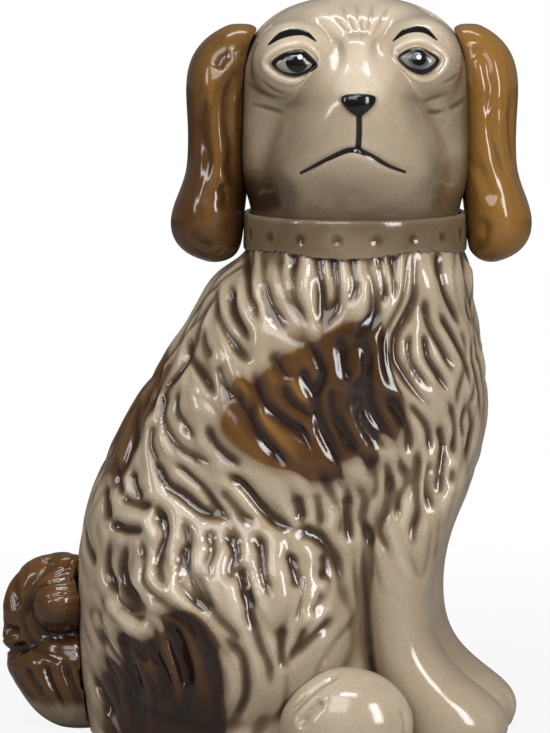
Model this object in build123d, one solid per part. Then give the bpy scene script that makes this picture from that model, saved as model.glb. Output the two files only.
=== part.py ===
"""Seated spaniel mantel figure in glazed earthenware.

The figure is press-moulded. The body and the head are each pressed in two halves, joined edge to edge
with slip and backed inside by rolls of clay. The ears, the collar, the tail and the hind paws are luted
on, and a slab with a vent hole closes the bottom.

Working frame, in millimetres: +X runs from the rump to the chest and starts at the rump, +Z is up, the
body's seam lies in the plane Y = 0, and the face is turned to the -Y side. The finished figure is then
set over the middle of its own foot print.
"""

import os
from math import copysign, cos, pi, sin

from build123d import *

# Clay walls and the rolls that back the seams
WALL = 5.0
SEAM_ROLL_WIDTH = 9.0
SEAM_ROLL_THICKNESS = 3.0
SEAM_CLEARANCE = 0.5
CUT_OVERRUN = 20.0

# Body: floor to neck joint, rump to chest, side to side
BODY_HEIGHT = 175.5
BODY_LENGTH = 143.0
BODY_DEPTH = 92.0
NECK_DIAMETER = 72.0
NECK_SET_SHARE = 0.677

# Trunk rings: height, back, front, half depth
TRUNK_SHARES = (
    (0.000, 0.030, 0.800, 0.93),
    (0.090, 0.012, 0.800, 0.96),
    (0.210, 0.004, 0.800, 0.97),
    (0.330, 0.000, 0.810, 0.96),
    (0.420, 0.010, 0.848, 0.95),
    (0.510, 0.046, 0.915, 0.95),
    (0.600, 0.097, 0.972, 0.96),
    (0.690, 0.158, 1.000, 0.97),
    (0.780, 0.231, 0.993, 0.95),
    (0.870, 0.301, 0.972, 0.92),
    (0.920, 0.348, 0.966, 0.90),
)

# Rings that ease the trunk into the neck joint: height, half length, half depth
NECK_SHARES = (
    (0.956, 1.061, 1.061),
    (0.980, 1.005, 1.016),
)

# Main locks of the coat: grooves on each side, by places along the body and up it
LOCK_RADIUS = 3.4
LOCK_DEPTH = 1.9
LOCK_SHARES = (
    ((0.400, 0.925), (0.390, 0.880), (0.405, 0.840), (0.430, 0.790), (0.470, 0.760)),
    ((0.490, 0.930), (0.500, 0.895), (0.525, 0.855), (0.560, 0.830)),
    ((0.620, 0.935), (0.635, 0.905), (0.635, 0.865), (0.620, 0.835)),
    ((0.745, 0.935), (0.765, 0.905), (0.765, 0.870), (0.725, 0.815)),
    ((0.860, 0.925), (0.850, 0.870), (0.815, 0.780), (0.860, 0.710), (0.910, 0.650)),
    ((0.300, 0.820), (0.315, 0.780), (0.335, 0.755), (0.380, 0.700)),
    ((0.250, 0.720), (0.245, 0.675), (0.260, 0.635), (0.325, 0.580), (0.390, 0.565)),
    ((0.215, 0.590), (0.260, 0.530), (0.345, 0.480), (0.415, 0.455)),
    ((0.405, 0.550), (0.480, 0.490), (0.580, 0.445)),
    ((0.465, 0.755), (0.540, 0.660), (0.620, 0.585)),
    ((0.635, 0.750), (0.620, 0.700), (0.655, 0.610), (0.690, 0.565)),
    ((0.740, 0.785), (0.745, 0.685), (0.800, 0.610)),
    ((0.630, 0.550), (0.685, 0.470), (0.660, 0.415)),
    ((0.790, 0.585), (0.790, 0.480), (0.775, 0.385)),
    ((0.870, 0.600), (0.860, 0.520), (0.830, 0.440)),
    ((0.120, 0.430), (0.130, 0.355), (0.220, 0.285)),
    ((0.240, 0.495), (0.245, 0.415), (0.280, 0.335)),
    ((0.315, 0.475), (0.305, 0.400), (0.375, 0.285)),
    ((0.440, 0.435), (0.455, 0.335), (0.475, 0.240)),
    ((0.560, 0.410), (0.580, 0.335), (0.560, 0.255)),
    ((0.280, 0.275), (0.310, 0.180), (0.325, 0.110)),
    ((0.100, 0.260), (0.165, 0.180), (0.190, 0.100)),
)

# Thigh: an egg on each side of the rump
THIGH_LENGTH = 88.0
THIGH_HEIGHT = 78.0
THIGH_DEPTH = 52.0
THIGH_FORWARD_SHARE = 0.392
THIGH_RISE_SHARE = 0.232
THIGH_SPREAD_SHARE = 0.62

# Front legs: chest to floor, heel to toe, side to side, and between their middles
FRONT_LEG_HEIGHT = 122.0
FRONT_LEG_REACH = 48.0
FRONT_LEG_WIDTH = 38.0
FRONT_LEG_SPACING = 37.0
FRONT_LEG_SET_SHARE = 0.728

# Front leg rings: height, back, front, half width
FRONT_LEG_SHARES = (
    (0.00, 0.20, 0.95, 0.92),
    (0.04, 0.17, 1.00, 1.00),
    (0.10, 0.13, 0.97, 1.00),
    (0.17, 0.06, 0.77, 0.94),
    (0.25, 0.00, 0.56, 0.90),
    (0.38, -0.04, 0.46, 0.90),
    (0.52, -0.06, 0.47, 0.94),
    (0.70, -0.06, 0.53, 0.96),
    (0.86, -0.04, 0.50, 0.84),
    (1.00, 0.00, 0.36, 0.56),
)

# Hind paws
HIND_PAW_LENGTH = 46.0
HIND_PAW_WIDTH = 34.0
HIND_PAW_HEIGHT = 30.0
HIND_PAW_FORWARD_SHARE = 0.690
HIND_PAW_SPREAD_SHARE = 0.90
HIND_PAW_SOLE_SHARE = 0.33

# Toe grooves on all four paws
TOE_GROOVE_WIDTH = 1.4
TOE_GROOVE_DEPTH = 1.0
TOE_GROOVE_PLACE_SHARES = (-0.42, 0.0, 0.42)
TOE_LENGTH = 17.0

# Head: neck joint to crown, ear to ear, face to nape, and how far the face is turned from -Y
HEAD_HEIGHT = 81.0
HEAD_WIDTH = 79.0
HEAD_DEPTH = 78.0
HEAD_TURN = 7.0
HEAD_SQUARENESS = 2.5
HEAD_ROUND_SHARE = 0.095
HEAD_SQUARING_SHARE = 0.2

# Head rings: height, half width, face, nape
HEAD_SHARES = (
    (0.050, 0.911, 0.923, 0.923),
    (0.095, 0.911, 0.923, 0.923),
    (0.135, 0.932, 0.940, 0.944),
    (0.175, 0.968, 0.968, 0.975),
    (0.230, 0.990, 0.980, 1.000),
    (0.320, 1.000, 0.960, 1.015),
    (0.450, 1.000, 0.930, 1.020),
    (0.65, 0.99, 0.93, 1.02),
    (0.77, 0.95, 0.90, 0.98),
    (0.87, 0.82, 0.79, 0.86),
    (0.94, 0.62, 0.60, 0.66),
    (0.98, 0.38, 0.37, 0.40),
)

# Muzzle: from its root inside the head to the nose, and across the jowls
MUZZLE_REACH = 38.0
MUZZLE_WIDTH = 63.0
MUZZLE_ROOT_SHARE = 0.50

# Muzzle rings from chin to stop: height on the head, half width, reach
MUZZLE_SHARES = (
    (0.100, 0.84, 0.50),
    (0.145, 0.93, 0.63),
    (0.215, 0.99, 0.77),
    (0.305, 1.00, 0.90),
    (0.410, 0.94, 0.97),
    (0.505, 0.84, 1.00),
    (0.595, 0.71, 1.00),
    (0.655, 0.60, 0.94),
    (0.720, 0.48, 0.78),
    (0.790, 0.37, 0.60),
    (0.850, 0.28, 0.46),
)

# Brows and eyeballs, one of each on either side of the stop
BROW_WIDTH = 30.0
BROW_HEIGHT = 32.0
BROW_DEPTH = 34.0
BROW_RELIEF = 2.0
BROW_FACE_SHARE = 0.93
BROW_SPREAD_SHARE = 0.530
BROW_RISE_SHARE = 0.728
EYE_WIDTH = 14.0
EYE_HEIGHT = 9.0
EYE_DEPTH = 10.0
EYE_RELIEF = 0.9
EYE_SPREAD_SHARE = 0.545
EYE_RISE_SHARE = 0.747

# Nose pad
NOSE_WIDTH = 12.5
NOSE_HEIGHT = 9.0
NOSE_CORNER_RADIUS = 1.8
NOSE_RELIEF = 1.6
NOSE_RISE_SHARE = 0.583

# Ears: crown to tip, out from the head, and front to back
EAR_LENGTH = 82.0
EAR_THICKNESS = 26.0
EAR_BREADTH = 37.0
EAR_RISE_SHARE = 0.877
EAR_BACK_SHARE = 0.05

# Ear rings: distance down from the top, inner edge, outer edge, half breadth
EAR_SHARES = (
    (0.00, -0.12, 0.16, 0.22),
    (0.03, -0.26, 0.36, 0.50),
    (0.10, -0.28, 0.62, 0.78),
    (0.20, -0.24, 0.76, 0.92),
    (0.36, -0.18, 0.77, 0.95),
    (0.54, -0.14, 0.76, 0.94),
    (0.68, -0.10, 0.85, 0.97),
    (0.82, -0.04, 1.00, 1.00),
    (0.92, 0.00, 0.92, 0.86),
    (0.98, 0.12, 0.66, 0.54),
    (1.00, 0.28, 0.48, 0.24),
)

# Collar with its ring of stud marks
COLLAR_HEIGHT = 14.0
COLLAR_THICKNESS = 2.6
COLLAR_EDGE_RADIUS = 1.0
STUD_COUNT = 18
STUD_DIAMETER = 4.2
STUD_DEPTH = 0.8

# Tail: a plume that rises from the floor and curls into a knob
TAIL_PLUME_LENGTH = 42.0
TAIL_PLUME_DEPTH = 36.0
TAIL_PLUME_HEIGHT = 39.0
TAIL_CURL_DIAMETER = 22.0
TAIL_CURL_THICKNESS = 19.0
TAIL_KNOB_DIAMETER = 25.0
TAIL_KNOB_DEPTH = 44.0
TAIL_SET = 6.5
TAIL_RISE = 41.0
TAIL_KNOB_FORWARD_SHARE = 0.08
TAIL_KNOB_RISE_SHARE = 0.20
TAIL_PLUME_RISE_SHARE = 0.47

# Slab that closes the bottom, with its vent hole
BASE_THICKNESS = 6.0
VENT_DIAMETER = 9.0
VENT_SET_SHARE = 0.4

# Shape of every ring: a superellipse drawn through this many points
RING_POINTS = 16
BODY_SQUARENESS = 2.25
ROUND = 2.0

NECK_AXIS = (NECK_SET_SHARE * BODY_LENGTH, 0, BODY_HEIGHT)
BODY_REACH = BODY_LENGTH + BODY_DEPTH + CUT_OVERRUN

# The two sides of a seam: the dog's right and the face look along -Y
RIGHT = Plane.XZ
LEFT = -Plane.XZ


def power(value, exponent):
    """A signed power, which turns a circle into a superellipse."""
    return copysign(abs(value) ** exponent, value)


def ring(plane, radius_x, radius_y, squareness=ROUND):
    """A closed superellipse on a plane, round at 2 and squarer above, with no point on the seam."""
    points = []
    for step in range(RING_POINTS):
        angle = pi / 2 + 2 * pi * (step + 0.5) / RING_POINTS
        across = radius_x * power(cos(angle), 2 / squareness)
        along = radius_y * power(sin(angle), 2 / squareness)
        points.append(plane.from_local_coords((across, along, 0)))
    steps = [step / RING_POINTS for step in range(RING_POINTS + 1)]
    return Wire([Edge.make_spline(points, periodic=True, parameters=steps)])


def level(x, y, z):
    """A horizontal plane, its X along the figure."""
    return Plane(origin=(x, y, z))


def ellipsoid(centre, length, depth, height):
    """An egg of the given overall sizes, from a unit ball."""
    ball = scale(Sphere(1), by=(length / 2, depth / 2, height / 2))
    return Pos(*centre) * ball


def largest(shape):
    """The biggest solid of a cut, without the crumbs on the far side of its neighbour."""
    return max(shape.solids(), key=lambda solid: solid.volume)


def above_floor(shape):
    """The shape cut flat where it stands."""
    floor = Pos(0, 0, -BODY_REACH / 2) * Box(2 * BODY_REACH, 2 * BODY_REACH, BODY_REACH)
    return shape - floor


# Body

def trunk(inset):
    """The trunk from floor to neck joint, drawn in by the inset."""
    rings = []
    for height, back, front, half_depth in TRUNK_SHARES:
        middle = (back + front) / 2 * BODY_LENGTH
        plane = level(middle, 0, height * BODY_HEIGHT)
        half_length = (front - back) / 2 * BODY_LENGTH
        rings.append(ring(plane, half_length - inset, half_depth * BODY_DEPTH / 2 - inset, BODY_SQUARENESS))
    neck_radius = NECK_DIAMETER / 2
    for height, half_length, half_depth in NECK_SHARES:
        plane = level(NECK_SET_SHARE * BODY_LENGTH, 0, height * BODY_HEIGHT)
        half_sizes = (half_length * neck_radius - inset, half_depth * neck_radius - inset)
        rings.append(ring(plane, *half_sizes, BODY_SQUARENESS))
    rings.append(ring(level(*NECK_AXIS), neck_radius - inset, neck_radius - inset))
    return Solid.make_loft(rings)


def thigh(side, inset):
    """The thigh of one side: -1 is the dog's right, 1 its left."""
    centre = (
        THIGH_FORWARD_SHARE * BODY_LENGTH,
        side * THIGH_SPREAD_SHARE * BODY_DEPTH / 2,
        THIGH_RISE_SHARE * BODY_HEIGHT,
    )
    return ellipsoid(centre, THIGH_LENGTH - 2 * inset, THIGH_DEPTH - 2 * inset, THIGH_HEIGHT - 2 * inset)


def front_leg(side, inset=0):
    """One front leg with its paw, from the floor up into the chest."""
    heel = FRONT_LEG_SET_SHARE * BODY_LENGTH
    middle_y = side * FRONT_LEG_SPACING / 2
    rings = []
    for height, back, front, half_width in FRONT_LEG_SHARES:
        middle_x = heel + (back + front) / 2 * FRONT_LEG_REACH
        plane = level(middle_x, middle_y, height * FRONT_LEG_HEIGHT)
        half_reach = (front - back) / 2 * FRONT_LEG_REACH
        rings.append(ring(plane, half_reach - inset, half_width * FRONT_LEG_WIDTH / 2 - inset))
    return Solid.make_loft(rings)


def toe_grooves(paw, core, tip_x, middle_y, width):
    """Grooves that part the toes at the front of a paw, cut down to its core."""
    cuts = []
    for share in TOE_GROOVE_PLACE_SHARES:
        middle = (tip_x - TOE_LENGTH / 2, middle_y + share * width / 2, TOE_LENGTH / 2)
        slot = Pos(*middle) * Box(TOE_LENGTH, TOE_GROOVE_WIDTH, TOE_LENGTH)
        cuts.append(slot - core)
    return paw - cuts


def front_leg_with_toes(side):
    """A front leg with its toes parted."""
    tip_x = FRONT_LEG_SET_SHARE * BODY_LENGTH + FRONT_LEG_REACH
    middle_y = side * FRONT_LEG_SPACING / 2
    core = front_leg(side, TOE_GROOVE_DEPTH)
    return toe_grooves(front_leg(side), core, tip_x, middle_y, FRONT_LEG_WIDTH)


def skin_point(body, along, up, lift):
    """A point over the right side at a place in the side view, lifted off the skin."""
    sight = Axis((along * BODY_LENGTH, -BODY_REACH, up * BODY_HEIGHT), (0, 1, 0))
    point, normal = body.find_intersection_points(sight)[0]
    return point + normal * lift


def lock_bar(body, places):
    """The tool for one groove: a round bar sunk along the skin that runs out of it at both ends."""
    lifts = [LOCK_RADIUS - LOCK_DEPTH] * len(places)
    lifts[0] = lifts[-1] = LOCK_RADIUS
    path = Spline(*(skin_point(body, *place, lift) for place, lift in zip(places, lifts)))
    return sweep(Plane(origin=path @ 0, z_dir=path % 0) * Circle(LOCK_RADIUS), path=path)


def body_outside():
    """The right half of the body with its thigh, its front leg and the locks of its coat, filled solid."""
    body = trunk(0) + thigh(-1, 0) + front_leg_with_toes(-1)
    half = side_of(above_floor(body), RIGHT)
    return half - [lock_bar(half, places) for places in LOCK_SHARES]


def body_cavity(inset):
    """The hollow of the body, drawn in by the inset."""
    hollow = trunk(inset)
    for side in (-1, 1):
        hollow = hollow + thigh(side, inset)
    return above_floor(hollow)


# Hind paws

def hind_paw(side):
    """One hind paw, resting flat, with its toes parted."""
    middle_y = side * HIND_PAW_SPREAD_SHARE * BODY_DEPTH / 2
    middle_x = HIND_PAW_FORWARD_SHARE * BODY_LENGTH
    egg_height = 2 * HIND_PAW_HEIGHT * (1 - HIND_PAW_SOLE_SHARE)
    centre = (middle_x, middle_y, HIND_PAW_SOLE_SHARE * HIND_PAW_HEIGHT)
    drop = 2 * TOE_GROOVE_DEPTH
    paw = ellipsoid(centre, HIND_PAW_LENGTH, HIND_PAW_WIDTH, egg_height)
    core = ellipsoid(centre, HIND_PAW_LENGTH - drop, HIND_PAW_WIDTH - drop, egg_height - drop)
    tip_x = middle_x + HIND_PAW_LENGTH / 2
    return above_floor(toe_grooves(paw, core, tip_x, middle_y, HIND_PAW_WIDTH))


# Tail

def tail():
    """Plume, curl and knob, one lump of clay."""
    plume = ellipsoid(
        (0, 0, TAIL_PLUME_RISE_SHARE * TAIL_PLUME_HEIGHT),
        TAIL_PLUME_LENGTH,
        TAIL_PLUME_DEPTH,
        TAIL_PLUME_HEIGHT,
    )
    curl = Pos(-TAIL_SET, 0, TAIL_RISE) * Rot(X=90) * Torus(TAIL_CURL_DIAMETER / 2, TAIL_CURL_THICKNESS / 2)
    knob_centre = (
        -TAIL_SET + TAIL_KNOB_FORWARD_SHARE * TAIL_CURL_DIAMETER,
        0,
        TAIL_RISE + TAIL_KNOB_RISE_SHARE * TAIL_CURL_DIAMETER,
    )
    knob = ellipsoid(knob_centre, TAIL_KNOB_DIAMETER, TAIL_KNOB_DEPTH, TAIL_KNOB_DIAMETER)
    return above_floor(plume + curl + knob)


# Head, in its own frame: the neck axis is its Z and the face looks along its -Y

def on_neck(shape):
    """A piece of the head set on the neck joint and turned to the side."""
    return Pos(*NECK_AXIS) * Rot(Z=HEAD_TURN) * shape


def skull(inset):
    """The head without muzzle and brows, drawn in by the inset."""
    neck_radius = NECK_DIAMETER / 2 - inset
    rings = [ring(level(0, 0, 0), neck_radius, neck_radius)]
    for height, half_width, face, nape in HEAD_SHARES:
        middle_y = (nape - face) / 2 * HEAD_DEPTH / 2
        half_depth = (face + nape) / 2 * HEAD_DEPTH / 2 - inset
        plane = level(0, middle_y, height * (HEAD_HEIGHT - inset))
        squaring = min(1, max(0, height - HEAD_ROUND_SHARE) / HEAD_SQUARING_SHARE)
        squareness = ROUND + (HEAD_SQUARENESS - ROUND) * squaring
        rings.append(ring(plane, half_width * HEAD_WIDTH / 2 - inset, half_depth, squareness))
    return Solid.make_loft([*rings, Vertex(0, 0, HEAD_HEIGHT - inset)])


def muzzle():
    """The muzzle: rings stacked from chin to stop, broad at the jowls and narrow between the eyes."""
    root_y = -MUZZLE_ROOT_SHARE * HEAD_DEPTH / 2
    rings = []
    for height, half_width, reach in MUZZLE_SHARES:
        plane = level(0, root_y, height * HEAD_HEIGHT)
        rings.append(ring(plane, half_width * MUZZLE_WIDTH / 2, reach * MUZZLE_REACH))
    return Solid.make_loft(rings)


def brow_front():
    """How far forward a brow reaches."""
    return -BROW_FACE_SHARE * HEAD_DEPTH / 2 - BROW_RELIEF


def brow(side):
    """The round swelling over one eye."""
    centre = (
        side * BROW_SPREAD_SHARE * HEAD_WIDTH / 2,
        brow_front() + BROW_DEPTH / 2,
        BROW_RISE_SHARE * HEAD_HEIGHT,
    )
    return ellipsoid(centre, BROW_WIDTH, BROW_DEPTH, BROW_HEIGHT)


def eye(side):
    """One eyeball, a low bead on the front of its brow."""
    centre = (
        side * EYE_SPREAD_SHARE * HEAD_WIDTH / 2,
        brow_front() - EYE_RELIEF + EYE_DEPTH / 2,
        EYE_RISE_SHARE * HEAD_HEIGHT,
    )
    return ellipsoid(centre, EYE_WIDTH, EYE_DEPTH, EYE_HEIGHT)


def nose():
    """The nose pad: a soft three-cornered button on the front of the muzzle."""
    root_y = -MUZZLE_ROOT_SHARE * HEAD_DEPTH / 2
    front = Plane(
        origin=(0, root_y, NOSE_RISE_SHARE * HEAD_HEIGHT),
        x_dir=(1, 0, 0),
        z_dir=(0, -1, 0),
    )
    corners = [(-NOSE_WIDTH / 2, NOSE_HEIGHT / 2), (NOSE_WIDTH / 2, NOSE_HEIGHT / 2), (0, -NOSE_HEIGHT / 2)]
    outline = make_face(Polyline(*corners, close=True))
    outline = fillet(outline.vertices(), NOSE_CORNER_RADIUS)
    pad = extrude(front * outline, MUZZLE_REACH + NOSE_RELIEF)
    rim = pad.faces().sort_by(Axis.Y)[0].edges()
    return fillet(rim, NOSE_RELIEF / 2)


def head_outside():
    """The whole outside of the head, filled solid."""
    head = skull(0) + muzzle()
    for side in (-1, 1):
        head = head + brow(side) + eye(side)
    return head + nose()


def ear(side):
    """One ear, hanging from the side of the crown: -1 is the dog's right, 1 its left."""
    root_x = HEAD_WIDTH / 2
    top_z = EAR_RISE_SHARE * HEAD_HEIGHT
    middle_y = EAR_BACK_SHARE * EAR_BREADTH
    rings = []
    for drop, inner, outer, half_breadth in reversed(EAR_SHARES):
        middle_x = root_x + (inner + outer) / 2 * EAR_THICKNESS
        plane = level(side * middle_x, middle_y, top_z - drop * EAR_LENGTH)
        half_thickness = (outer - inner) / 2 * EAR_THICKNESS
        rings.append(ring(plane, half_thickness, half_breadth * EAR_BREADTH / 2))
    return on_neck(Solid.make_loft(rings))


# Collar

def collar_disc():
    """The collar as a full disc, before the neck is cut out of it."""
    disc = Cylinder(NECK_DIAMETER / 2 + COLLAR_THICKNESS, COLLAR_HEIGHT)
    return Pos(*NECK_AXIS) * fillet(disc.edges(), COLLAR_EDGE_RADIUS)


def collar(right_body, left_body):
    """The collar: a band round the neck joint that rests on the flare below it, with its stud marks."""
    bore = Pos(*NECK_AXIS) * Cylinder(NECK_DIAMETER / 2 + SEAM_CLEARANCE, COLLAR_HEIGHT + CUT_OVERRUN)
    return largest(collar_disc() - bore - right_body - left_body - stud_marks())


def stud_marks():
    """Shallow round marks pressed into the collar all the way round."""
    dish_radius = (STUD_DIAMETER ** 2 / 4 + STUD_DEPTH ** 2) / (2 * STUD_DEPTH)
    distance = NECK_DIAMETER / 2 + COLLAR_THICKNESS + dish_radius - STUD_DEPTH
    marks = []
    for index in range(STUD_COUNT):
        turn = (index + 0.5) * 360 / STUD_COUNT
        marks.append(on_neck(Rot(Z=turn) * Pos(0, -distance, 0) * Sphere(dish_radius)))
    return marks


# Assembly

def side_of(shape, plane):
    """The part of a shape on the side that the plane's normal points to."""
    block = Pos(0, 0, BODY_REACH) * Box(2 * BODY_REACH, 2 * BODY_REACH, 2 * BODY_REACH)
    return shape & (plane * block)


def between(shape, low, high):
    """The part of a shape between two heights."""
    block = Pos(0, 0, (low + high) / 2) * Box(2 * BODY_REACH, 2 * BODY_REACH, high - low)
    return shape & block


def seam_strip():
    """The strip of space that a roll of clay covers, half on each side of a seam."""
    return Plane.XZ * Box(2 * BODY_REACH, 2 * BODY_REACH, SEAM_ROLL_WIDTH)


def body_pieces(right_body, left_body):
    """The two body halves, the rolls behind their seam and the slab that closes the bottom."""
    hollow = body_cavity(WALL)
    core = body_cavity(WALL + SEAM_ROLL_THICKNESS)
    vent = Pos(VENT_SET_SHARE * BODY_LENGTH, 0, 0) * Cylinder(VENT_DIAMETER / 2, BASE_THICKNESS + CUT_OVERRUN)
    lining = between(hollow, BASE_THICKNESS, BODY_HEIGHT - SEAM_ROLL_WIDTH / 2) - core
    return {
        "right_body_half": largest(right_body - hollow),
        "left_body_half": largest(left_body - hollow),
        "body_seam_rolls": lining & seam_strip(),
        "base_slab": between(hollow, 0, BASE_THICKNESS) - vent,
    }


def neck_roll():
    """The roll of clay behind the neck joint, an oval ring pressed in from below."""
    radius = NECK_DIAMETER / 2 - WALL - SEAM_CLEARANCE - SEAM_ROLL_THICKNESS / 2
    section = Plane.XZ * Pos(radius, 0) * Ellipse(SEAM_ROLL_THICKNESS / 2, SEAM_ROLL_WIDTH / 2)
    return Pos(*NECK_AXIS) * revolve(section, Axis.Z)


def head_pieces(head):
    """The face, the back of the head and the roll behind their seam."""
    hollow = skull(WALL)
    core = skull(WALL + SEAM_ROLL_THICKNESS)
    shell = head - hollow
    lining = between(hollow, SEAM_ROLL_WIDTH / 2, HEAD_HEIGHT) - core
    return {
        "face_half": on_neck(side_of(shell, RIGHT)),
        "head_back_half": on_neck(side_of(shell, LEFT)),
        "head_seam_roll": on_neck(lining & seam_strip()),
    }


def build():
    """Every piece of the figure by name, in the working frame."""
    right_body = body_outside()
    left_body = mirror(right_body, about=RIGHT)
    head = head_outside()
    placed_skull = on_neck(skull(0))
    pieces = body_pieces(right_body, left_body) | head_pieces(head)
    pieces["neck_seam_roll"] = neck_roll()
    pieces["collar"] = collar(right_body, left_body)
    for name, side in (("right", -1), ("left", 1)):
        pieces[name + "_ear"] = largest(ear(side) - placed_skull - collar_disc() - right_body - left_body)
    right_paw = largest(hind_paw(-1) - right_body)
    pieces["right_hind_paw"] = right_paw
    pieces["left_hind_paw"] = mirror(right_paw, about=RIGHT)
    pieces["tail"] = largest(tail() - right_body - left_body)
    return pieces


def centred(pieces):
    """The pieces moved so that the origin is on the floor under the middle of the figure."""
    box = Compound(list(pieces.values())).bounding_box()
    shift = Pos(-box.center().X, -box.center().Y, -box.min.Z)
    return {name: shift * piece for name, piece in pieces.items()}


os.makedirs("parts", exist_ok=True)
for name, piece in centred(build()).items():
    export_step(piece, os.path.join("parts", name + ".step"))
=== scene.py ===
"""A seated spaniel mantel figure in glazed earthenware, finished over its packed clay pieces.

Each visible piece starts as a copy of its clay piece under a fine, even net. It is then worked as a modeller
works damp clay: softened where pieces meet, grooved lock by lock for the coat, painted and glazed. The places
of locks, patches and painted features are read off the photograph and laid on the clay from its camera.
Lengths are in metres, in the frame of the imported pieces.
"""

from math import cos, pi, radians, sin

import bmesh
import bpy
import numpy as np
from bpy.props import FloatProperty, FloatVectorProperty, IntProperty, PointerProperty
from mathutils import Matrix, Vector
from mathutils.bvhtree import BVHTree
from mathutils.kdtree import KDTree


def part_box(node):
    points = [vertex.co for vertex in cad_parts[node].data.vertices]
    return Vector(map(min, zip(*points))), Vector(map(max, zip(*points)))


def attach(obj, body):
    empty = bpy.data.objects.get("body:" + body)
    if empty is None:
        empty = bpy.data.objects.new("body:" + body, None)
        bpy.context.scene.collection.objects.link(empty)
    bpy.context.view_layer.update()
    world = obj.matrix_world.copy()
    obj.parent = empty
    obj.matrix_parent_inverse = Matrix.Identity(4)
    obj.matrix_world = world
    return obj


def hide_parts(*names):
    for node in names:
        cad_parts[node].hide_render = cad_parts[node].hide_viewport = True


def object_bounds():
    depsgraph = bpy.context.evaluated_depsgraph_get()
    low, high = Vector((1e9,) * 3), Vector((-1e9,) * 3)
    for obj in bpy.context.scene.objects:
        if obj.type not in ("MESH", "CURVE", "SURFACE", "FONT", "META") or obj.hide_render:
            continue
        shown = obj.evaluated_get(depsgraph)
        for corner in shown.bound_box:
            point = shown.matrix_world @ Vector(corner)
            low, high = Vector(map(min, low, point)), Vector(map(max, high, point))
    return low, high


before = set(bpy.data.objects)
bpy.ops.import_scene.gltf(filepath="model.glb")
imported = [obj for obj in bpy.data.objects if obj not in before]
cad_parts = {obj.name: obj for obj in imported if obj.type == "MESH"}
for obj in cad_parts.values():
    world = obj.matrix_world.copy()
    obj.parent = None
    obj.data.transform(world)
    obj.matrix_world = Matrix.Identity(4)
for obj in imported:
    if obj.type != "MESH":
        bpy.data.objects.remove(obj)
CAD_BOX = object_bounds()

bl_info = {
    "name": "Spaniel Mantel Figure",
    "version": (1, 0, 0),
    "blender": (4, 5, 0),
    "location": "View3D > Sidebar > Spaniel",
    "description": "Models the coat, the painted face and the glaze of a seated earthenware spaniel",
    "category": "Add Mesh",
}

MM = 0.001

# The photograph's frame, and how it lies on the figure's middle plane
PHOTO_WIDTH_PX = 550
PHOTO_HEIGHT_PX = 733
PIXEL = 0.3467 * MM
RUMP_PX = 76
FLOOR_PX = 735
SENSOR = 36.0

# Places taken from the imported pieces
RIGHT_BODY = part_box("right_body_half")
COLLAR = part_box("collar")
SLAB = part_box("base_slab")
RUMP_X = RIGHT_BODY[0].x
SEAM_Y = RIGHT_BODY[1].y
NECK_Z = RIGHT_BODY[1].z
NECK_AXIS = ((COLLAR[0] + COLLAR[1]) / 2).xy
NECK_RADIUS = 36.0 * MM
WALL = 5.0 * MM
HEAD_TURN = radians(7)
VENT_PLACE = Vector((RUMP_X + 57.2 * MM, SEAM_Y))
VENT_RADIUS = 4.5 * MM
VENT_DEPTH = 34.0 * MM
STUD_COUNT = 18
STUD_RADIUS = 2.2 * MM
STUD_BLUR = 1.0 * MM
HEAD_SOFTENING = 150

# How the locks run: rounds of averaging over the net, hops along the flow, and the reach beyond drawn locks
FLOW_SOFTENING = 60
LOCK_BREADTH = 28
LOCK_SMOOTHING = 5
LOCK_HOP = 2.2 * MM
LOCK_HOPS = 15
COAT_REACH = 14.0 * MM
GROOVE_CREASE = 0.5
GROOVE_VALLEY = 2.5
LOCK_SWAY = 3.0 * MM
LOCK_JITTER = 2.0 * MM
END_LOCK_POINTS = 24

# Wavy locks that the photograph shows only edge on: the side they are laid on from, the heights and the half
# width that they fill, and how many
CHEST_END = (400.0 * MM, 165.0 * MM, 85.0 * MM, 22.0 * MM, 14)
SPINE_END = (-400.0 * MM, 168.0 * MM, 60.0 * MM, 26.0 * MM, 18)

# Heights over which smoothing of the coat, modelling above the flat foot and glaze above the wiped foot set in,
# and depths below the neck's rim over which softening and locks do
COAT_HEIGHTS = (50.0 * MM, 80.0 * MM)
FOOT_HEIGHTS = (1.0 * MM, 4.0 * MM)
WIPED_HEIGHTS = (0.3 * MM, 1.2 * MM)
RIM_DEPTHS = (1.0 * MM, 5.0 * MM)
COLLAR_DEPTHS = (2.0 * MM, 6.0 * MM)

# Depths at which the glaze counts a groove, a broad valley, a paw's line or a collar's edge as full
GROOVE_FULL = 1.3 * MM
# Painted shade: the broad valleys' darkening, between leg and haunch and under the coat that overhangs the
# haunch
SHADED_VALLEY_FULL = 2.2 * MM
PAW_LINE_FULL = 1.1 * MM
COLLAR_EDGE_FULL = 0.9 * MM

# Fuller places of the outline: how far they stand out, how high they lie and how far they spread
CHEST_FULLNESS = (7.0 * MM, 90.0 * MM, 20.0 * MM)
PLUME_FULLNESS = (6.0 * MM, 25.0 * MM, 10.0 * MM)
EAR_SLIMNESS = {"right_ear": 0.94, "left_ear": 0.86}
EAR_GLAZE = {"right_ear": 0.0, "left_ear": -0.7}

# Sizes in the glaze: clouds, speckle, ripples and the sand of the bare clay
CLOUD_SIZE = 18.0 * MM
SPECKLE_SIZE = 0.9 * MM
RIPPLE_SIZE = 6.0 * MM
RIPPLE_HEIGHT = 0.3 * MM
SAND_SIZE = 1.2 * MM

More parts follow.
